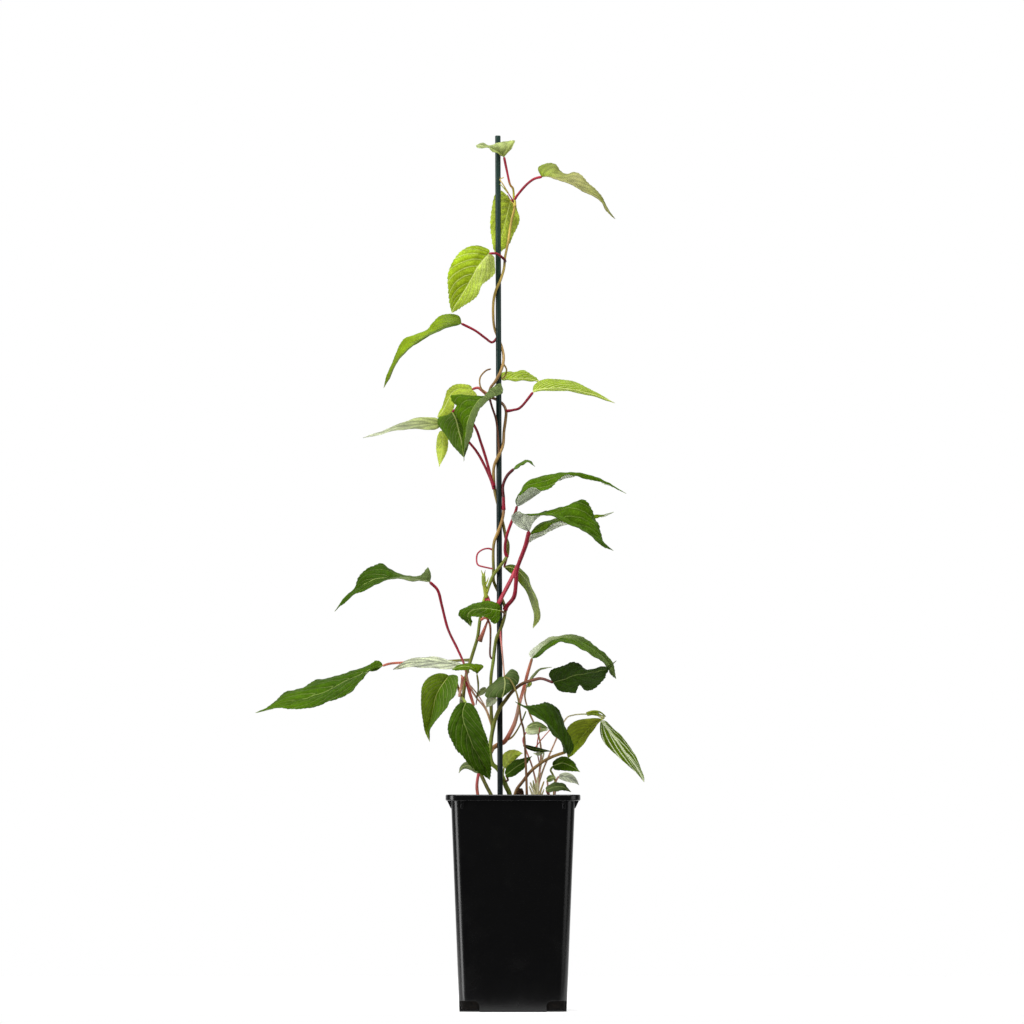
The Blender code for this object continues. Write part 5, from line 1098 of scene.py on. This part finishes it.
def build_blade(leaf, finishes):
    """A thin blade with forward teeth, quilted between its veins and waved at its margin."""
    length = sum((Vector(end) - Vector(start)).length
                 for start, end in zip(leaf.spine, leaf.spine[1:]))
    teeth = min(MOST_TEETH, max(FEWEST_TEETH, round(length / TOOTH_STEP)))
    rows = ROWS_A_TOOTH * teeth
    cuts = blade_cuts(leaf, rows)
    widest = max(blade_place(leaf, row, side)[1] for row in cuts for side in (-1, 1))
    columns = LARGE_COLUMNS if widest >= LARGE_BLADE else SMALL_COLUMNS
    scale = min(1.0, widest / FULL_BLADE)
    tone = TONES[leaf.tone]
    pairs = tone.pairs if length >= LONG_BLADE else SHORT_PAIRS
    sweep = VEIN_SWEEP * max(1.0, leaf.veins)
    seed = int(leaf.name[-2:])
    item = added(bpy.ops.mesh.primitive_grid_add, x_subdivisions=columns, y_subdivisions=rows,
                 size=2.0)
    mesh = item.data
    sides = {"upper": half_colours(leaf.upper), "under": half_colours(leaf.under)}
    painted = {name: [] for name in ("vein", "rib", *sides)}
    relief = []
    for vertex in mesh.vertices:
        across, share = vertex.co.x, (vertex.co.y + 1) / 2
        step = round(share * rows)
        side = 1 if across > 0 else -1
        point, reach = blade_place(leaf, cuts[step], across)
        if abs(across) > 0.99 and TOOTHED[0] < share < TOOTHED[1]:
            place, forward = cuts[step][:2]
            out = tooth_reach(seed, step, side, reach, scale) * tone.calm
            point += (point - place).normalized() * out + forward * out * TOOTH_FORWARD
        vertex.co = point * MM
        vein = pairs * (share - sweep * abs(across) ** VEIN_BEND)
        vein += VEIN_STAGGER if side > 0 else 0
        ridge = abs(math.sin(math.pi * (vein - 0.5))) ** PUFF_SHAPE
        relief.append(blade_relief(seed, point, across, share, reach, ridge, scale) * tone.calm)
        painted["vein"].append(vein)
        painted["rib"].append(reach)
        patch = noise.noise(Vector((seed * 3.1, share * 2.5, across * 1.6)))
        light = (1 + PATCHINESS * patch) * (HOLLOW_SHADE + (1 - HOLLOW_SHADE) * 1.25 * ridge)
        for name, halves in sides.items():
            painted[name].append(colour_at(halves[across < 0], share, light))
    for name, values in painted.items():
        paint(mesh, name, values)
    paint(mesh, "vein_show", [float(leaf.veins)] * len(mesh.vertices))
    mesh.update()
    normals = [vertex.normal.copy() for vertex in mesh.vertices]
    for vertex, normal, height in zip(mesh.vertices, normals, relief):
        vertex.co += normal * height * MM
    edit_all(bpy.ops.mesh.remove_doubles, threshold=BLADE_WELD * MM)
    coat(item, *finishes)
    applied(item, "SOLIDIFY", thickness=BLADE_THICK * MM, offset=0.0, material_offset=1)
    for vertex in mesh.vertices:
        vertex.co.x = min(vertex.co.x, cad_box[1][0])
    smooth_below(50)
    nodes = [leaf.name] if leaf in LEAVES else []
    finished(item, "blade_" + leaf.name[-2:], "leaf_" + leaf.tone, *nodes)


# Stems.


def tinted_tube(branch, seed):
    """A stem along a branch's path, with a swollen foot and its colours along its length."""
    points = [*branch.points]
    if branch.leaf:
        points.append(next(leaf.spine[0] for leaf in LEAVES if leaf.name == branch.leaf))
    path = spline_points(points)
    last = len(path) - 1
    start = Vector((seed, 0, 0))
    curve = added(bpy.ops.curve.primitive_nurbs_path_add).data
    curve.bevel_depth = MM
    curve.bevel_resolution = STEM_ROUNDNESS
    curve.use_fill_caps = True
    curve.splines.clear()
    spline = curve.splines.new("POLY")
    spline.points.add(last)
    travelled = 0.0
    tree = KDTree(len(path))
    for index, (knot, place) in enumerate(zip(spline.points, path)):
        if index:
            travelled += (place - path[index - 1]).length
        radius = branch.radius_from + (branch.radius_to - branch.radius_from) * index / last
        radius *= 1 + branch.swell * math.exp(-(travelled / FOOT_LENGTH) ** 2)
        radius *= 1 + STEM_UNEVEN * noise.noise(place * 0.11 + start)
        radius *= PETIOLE_GIRTH if branch.leaf else 1
        radius *= END_TAPER if index == last else 1
        knot.co = (*(place * MM), 1.0)
        knot.radius = radius
        tree.insert(place * MM, index)
    tree.balance()
    bpy.ops.object.convert(target="MESH")
    item = bpy.context.object
    edit_all(bpy.ops.mesh.remove_doubles, threshold=STEM_WELD * MM)
    colours = colours_named(branch.tints, STEM_COLOURS)
    tints = []
    for vertex in item.data.vertices:
        _, nearest, _ = tree.find(vertex.co)
        patchy = 1 + STEM_PATCHY * noise.noise(vertex.co / MM * 0.06 + start)
        tints.append(colour_at(colours, nearest / last, patchy))
    paint(item.data, "tint", tints)
    return item


def build_stems(finish):
    for name, branches in STEMS.items():
        item = joined([tinted_tube(branch, index) for index, branch in enumerate(branches)])
        coat(item, finish)
        bpy.ops.object.shade_smooth()
        finished(item, name + "_stems", SLOTS[name], name)


# Pot, soil, stake and bark.


def box_about(middle, size):
    """A box of a size about its middle."""
    item = added(bpy.ops.mesh.primitive_cube_add, size=1.0)
    for vertex in item.data.vertices:
        vertex.co = [(spot + part * extent) * MM
                     for spot, part, extent in zip(middle, vertex.co, size)]
    return item


def block(bottom, top, half_bottom, half_top, corner, steps):
    """A tapered square block with rounded upright edges."""
    middle = (bottom + top) / 2
    item = box_about((0, 0, middle), (2 * half_bottom, 2 * half_bottom, top - bottom))
    for vertex in item.data.vertices:
        if vertex.co.z > middle * MM:
            vertex.co.x *= half_top / half_bottom
            vertex.co.y *= half_top / half_bottom
    round_edges(item, corner, steps,
                lambda ends: abs(ends[0].z - ends[1].z) > (top - bottom) / 2 * MM)
    return item


def pot_half(height):
    """Half of the pot's width at a height."""
    return POT_BASE_HALF + (POT_TOP_HALF - POT_BASE_HALF) * height / (POT_HEIGHT - RIM_BAND)


def web(side_x, side_y, along_x):
    """A small web under the rim near a corner, its foot nearer the wall."""
    place = (POT_TOP_HALF - GUSSET_FROM_CORNER, (POT_TOP_HALF + RIM_HALF) / 2 - OVERLAP)
    size = (GUSSET_THICK, RIM_HALF - POT_TOP_HALF)
    if not along_x:
        place, size = place[::-1], size[::-1]
    middle = POT_HEIGHT - RIM_BAND - GUSSET_DROP / 2 + OVERLAP
    item = box_about((*place, middle), (*size, GUSSET_DROP))
    for vertex in item.data.vertices:
        if vertex.co.z < middle * MM:
            outward = 1 if along_x else 0
            vertex.co[outward] = min(vertex.co[outward], (POT_TOP_HALF + GUSSET_FOOT) * MM)
        vertex.co.x *= side_x
        vertex.co.y *= side_y
    edit_all(bpy.ops.mesh.normals_make_consistent, inside=False)
    return item


def drain(side_x, side_y):
    """The block that opens a bottom corner, its upper edges rounded."""
    middle = (DRAIN_HEIGHT - CUT_BEYOND) / 2
    item = box_about((side_x * POT_BASE_HALF, side_y * POT_BASE_HALF, middle),
                     (2 * DRAIN_SIDE, 2 * DRAIN_SIDE, DRAIN_HEIGHT + CUT_BEYOND))
    round_edges(item, DRAIN_ROUND, 6, lambda ends: all(end.z > 0 for end in ends))
    return item


def build_pot(finish):
    wall_top = POT_HEIGHT - RIM_BAND
    body_top = POT_HEIGHT - RIM_BAND / 4
    pot = block(0, body_top, POT_BASE_HALF, pot_half(body_top), POT_CORNER, CORNER_STEPS)
    rim = block(wall_top, POT_HEIGHT, RIM_HALF, RIM_HALF, RIM_CORNER, CORNER_STEPS)
    round_edges(rim, RIM_ROUND, 4, lambda ends: any(
        all(abs(end.z - height * MM) < SKIN * MM for end in ends)
        for height in (POT_HEIGHT, wall_top)))
    boolean(pot, rim, "UNION")
    for corner in CORNERS:
        for along_x in (True, False):
            boolean(pot, web(*corner, along_x), "UNION")
    above = POT_HEIGHT + CUT_BEYOND
    boolean(pot, block(POT_FLOOR, above, pot_half(POT_FLOOR) - POT_WALL, pot_half(above) - POT_WALL,
                       POT_CORNER - POT_WALL, CORNER_STEPS), "DIFFERENCE")
    for corner in CORNERS:
        boolean(pot, drain(*corner), "DIFFERENCE")
    applied(pot, "BEVEL", width=POT_EDGE * MM, segments=2, limit_method="ANGLE",
            angle_limit=math.radians(45))
    smooth_below(35)
    applied(pot, "WEIGHTED_NORMAL", weight=100, keep_sharp=True)
    coat(pot, finish)
    finished(pot, "moulded_pot", "pot", "pot")


def stake_x(height):
    """Where the leaning stake is at a height."""
    share = (height - SOIL_LEVEL) / (STAKE_TOP - SOIL_LEVEL)
    return STAKE_AT_SOIL + (STAKE_AT_TOP - STAKE_AT_SOIL) * share


def build_stake(finish):
    item = added(bpy.ops.mesh.primitive_cylinder_add, vertices=STAKE_SIDES,
                 radius=STAKE_RADIUS * MM, depth=(STAKE_TOP - STAKE_FOOT) * MM)
    for vertex in item.data.vertices:
        vertex.co.z += (STAKE_TOP + STAKE_FOOT) / 2 * MM
    round_edges(item, STAKE_ROUND, 4, lambda ends: all(end.z > (STAKE_TOP - 1) * MM for end in ends))
    for height in range(int(STAKE_FOOT) + STAKE_STEP, int(STAKE_TOP) - 4, STAKE_STEP):
        cut(item, (0, 0, 1), height)
    for vertex in item.data.vertices:
        height = vertex.co.z / MM
        swell = 1 + STAKE_UNEVEN * noise.noise(Vector((0, 0, height * 0.05)))
        vertex.co.x = vertex.co.x * swell + stake_x(height) * MM
        vertex.co.y *= swell
    coat(item, finish)
    smooth_below(40)
    finished(item, "coated_stake", "stake", "stake")


def soil_height(x, y):
    """The top of the soil: the part's low waves, with lumps on them."""
    place = Vector((x, y, 0))
    waves = math.sin(0.17 * x + 1.0) * math.cos(0.13 * y) + 0.6 * math.sin(0.31 * x - 0.27 * y)
    lumps = 1.3 * noise.noise(place * 0.16) + 0.8 * noise.noise(place * 0.5)
    return SOIL_LEVEL + 1.6 * waves + lumps


def on_top(corners):
    return all(corner.z > (SOIL_LEVEL - SKIN) * MM for corner in corners)


def build_soil(finish):
    floor = POT_FLOOR + SOIL_GAP
    half = pot_half(SOIL_LEVEL) - POT_WALL - SOIL_GAP
    soil = block(floor, SOIL_LEVEL, pot_half(floor) - POT_WALL - SOIL_GAP, half,
                 POT_CORNER - POT_WALL, SOIL_CORNER_STEPS)
    for normal in ((1, 0, 0), (0, 1, 0)):
        for index in range(1, SOIL_CELLS):
            cut(soil, normal, half * (2 * index / SOIL_CELLS - 1), on_top)
    for vertex in soil.data.vertices:
        if on_top([vertex.co]):
            x, y = vertex.co.x / MM, vertex.co.y / MM
            inner = 1 - min(1, max(abs(x), abs(y)) / half) ** 8
            vertex.co.z += (soil_height(x, y) - SOIL_LEVEL) * inner * MM
    coat(soil, finish)
    smooth_below(60)
    finished(soil, "potting_soil", "soil", "soil")


def build_crumbs(finish):
    """Lumps, chips and fibres that lie on the soil, in one piece."""
    shuffle = random.Random(CRUMB_SEED)
    pattern = added(bpy.ops.mesh.primitive_ico_sphere_add, subdivisions=1, radius=MM)
    half = pot_half(SOIL_LEVEL) - POT_WALL - CRUMB_FROM_WALL
    crumbs = []
    for _ in range(CRUMBS):
        x, y = shuffle.uniform(-half, half), shuffle.uniform(-half, half)
        size = CRUMB_SIZES[0] + (CRUMB_SIZES[1] - CRUMB_SIZES[0]) * shuffle.random() ** 3
        flat = shuffle.uniform(*CRUMB_FLATNESS)
        longer = shuffle.uniform(*CRUMB_LENGTH)
        turn = Euler([shuffle.uniform(0, math.tau) for _ in range(3)]).to_matrix()
        crumb = pattern.copy()
        crumb.data = pattern.data.copy()
        bpy.context.scene.collection.objects.link(crumb)
        crumbs.append(crumb)
        for vertex in crumb.data.vertices:
            spot = vertex.co / MM
            spot *= 1 + CRUMB_ROUGH * noise.noise(spot * 1.3 + Vector((x, y, 0)))
            spot = turn @ Vector((spot.x * longer, spot.y, spot.z * flat)) * size
            vertex.co = (spot + Vector((x, y, soil_height(x, y) + CRUMB_RISE * size))) * MM
    bpy.data.objects.remove(pattern, do_unlink=True)
    item = joined(crumbs)
    coat(item, finish)
    finished(item, "soil_crumbs", "soil")


def build_bark(finish):
    """A curled scrap of bark with a torn edge: the middle of a blade of its own."""
    scrap = Leaf("bark", "mature", "olive", "olive", 0,
                 ((3, 24, 199.9), (5, 25, 213.5), (7, 26, 227.6)), (6, -30, 50), (5, 30, -40), 0.6)
    path = spline_points(scrap.spine)
    item = added(bpy.ops.mesh.primitive_grid_add, x_subdivisions=BARK_GRID[0],
                 y_subdivisions=BARK_GRID[1], size=2.0)
    for vertex in item.data.vertices:
        share = BARK_FROM + BARK_SHARE * (vertex.co.y + 1) / 2
        across = vertex.co.x
        torn = 1 - BARK_TEAR * abs(noise.noise(Vector((0, share * 9, across))))
        point, _ = sloped_place(scrap, sloped_cut(path, share), across * torn)
        vertex.co = (point + noise.noise_vector(point * 0.35) * BARK_ROUGH) * MM
    coat(item, finish)
    applied(item, "SOLIDIFY", thickness=BARK_THICK * MM, offset=0.0)
    applied(item, "SUBSURF", levels=1, render_levels=1)
    bpy.ops.object.shade_smooth()
    finished(item, "bark_scrap", "bark", "bark")


# The studio.


def stand(name, data, spot, aim):
    """Stands a lamp or the camera at a spot, turned to its aim."""
    holder = bpy.data.objects.new(name, data)
    holder.location = spot
    holder.rotation_euler = (Vector(aim) - Vector(spot)).to_track_quat("-Z", "Y").to_euler()
    bpy.context.scene.collection.objects.link(holder)
    return holder


def build_floor():
    floor = added(bpy.ops.mesh.primitive_plane_add, size=FLOOR_SIZE,
                  location=(0, FLOOR_SIZE / 2 - FLOOR_FRONT, 0))
    floor.name = "floor"
    pale = Finish("pale_floor", 0.9, 0.1)
    pale.shader.inputs["Base Color"].default_value = (0.8, 0.8, 0.8, 1.0)
    pale.shader.inputs["Emission Color"].default_value = WHITE
    pale.shader.inputs["Emission Strength"].default_value = FLOOR_GLOW
    coat(floor, pale.material)


def build_world():
    """White to the camera, while the light comes mostly from behind."""
    world = bpy.data.worlds.new("studio")
    world.use_nodes = True
    bpy.context.scene.world = world
    sky = Nodes(world.node_tree)
    towards = sky.node("ShaderNodeTexCoord", output="Generated")
    behind = sky.node("ShaderNodeSeparateXYZ", {}, (towards,), output="Y")
    strength = behind.over(*AMBIENT_TURN, FRONT_AMBIENT, BACK_AMBIENT)
    lit = sky.node("ShaderNodeBackground", {}, {"Color": WHITE, "Strength": strength})
    seen = sky.node("ShaderNodeBackground", {}, {"Color": WHITE, "Strength": 1.0})
    by_camera = sky.node("ShaderNodeLightPath", output="Is Camera Ray")
    sky.show(sky.node("ShaderNodeMixShader", {}, (by_camera, lit, seen)))


def build_studio():
    build_floor()
    build_world()
    for name, spot, width, height, power in LIGHTS:
        lamp = bpy.data.lights.new(name, "AREA")
        lamp.shape = "RECTANGLE"
        lamp.size, lamp.size_y, lamp.energy = width, height, power
        stand(name, lamp, spot, LIGHT_AIM)
    camera = bpy.data.cameras.new("camera")
    camera.lens = CAMERA_LENS
    camera.clip_end = 100
    bpy.context.scene.camera = stand("camera", camera, CAMERA_PLACE, CAMERA_AIM)
    bpy.context.scene.view_settings.view_transform = "Standard"


def main():
    finishes = {kind: (blade_finish(kind, "upper"), blade_finish(kind, "under"))
                for kind in ("young", "grown", "pale")}
    for leaf in (*LEAVES, *SPRIGS):
        build_blade(leaf, finishes[TONES[leaf.tone].look])
    build_stems(stem_finish())
    build_pot(pot_finish())
    build_stake(stake_finish())
    soil = soil_finish("potting_soil", (0.02, 0.013, 0.008), (0.085, 0.054, 0.032))
    build_soil(soil)
    build_crumbs(soil)
    build_bark(soil_finish("dry_bark", (0.03, 0.014, 0.007), (0.13, 0.06, 0.03)))
    build_studio()


main()
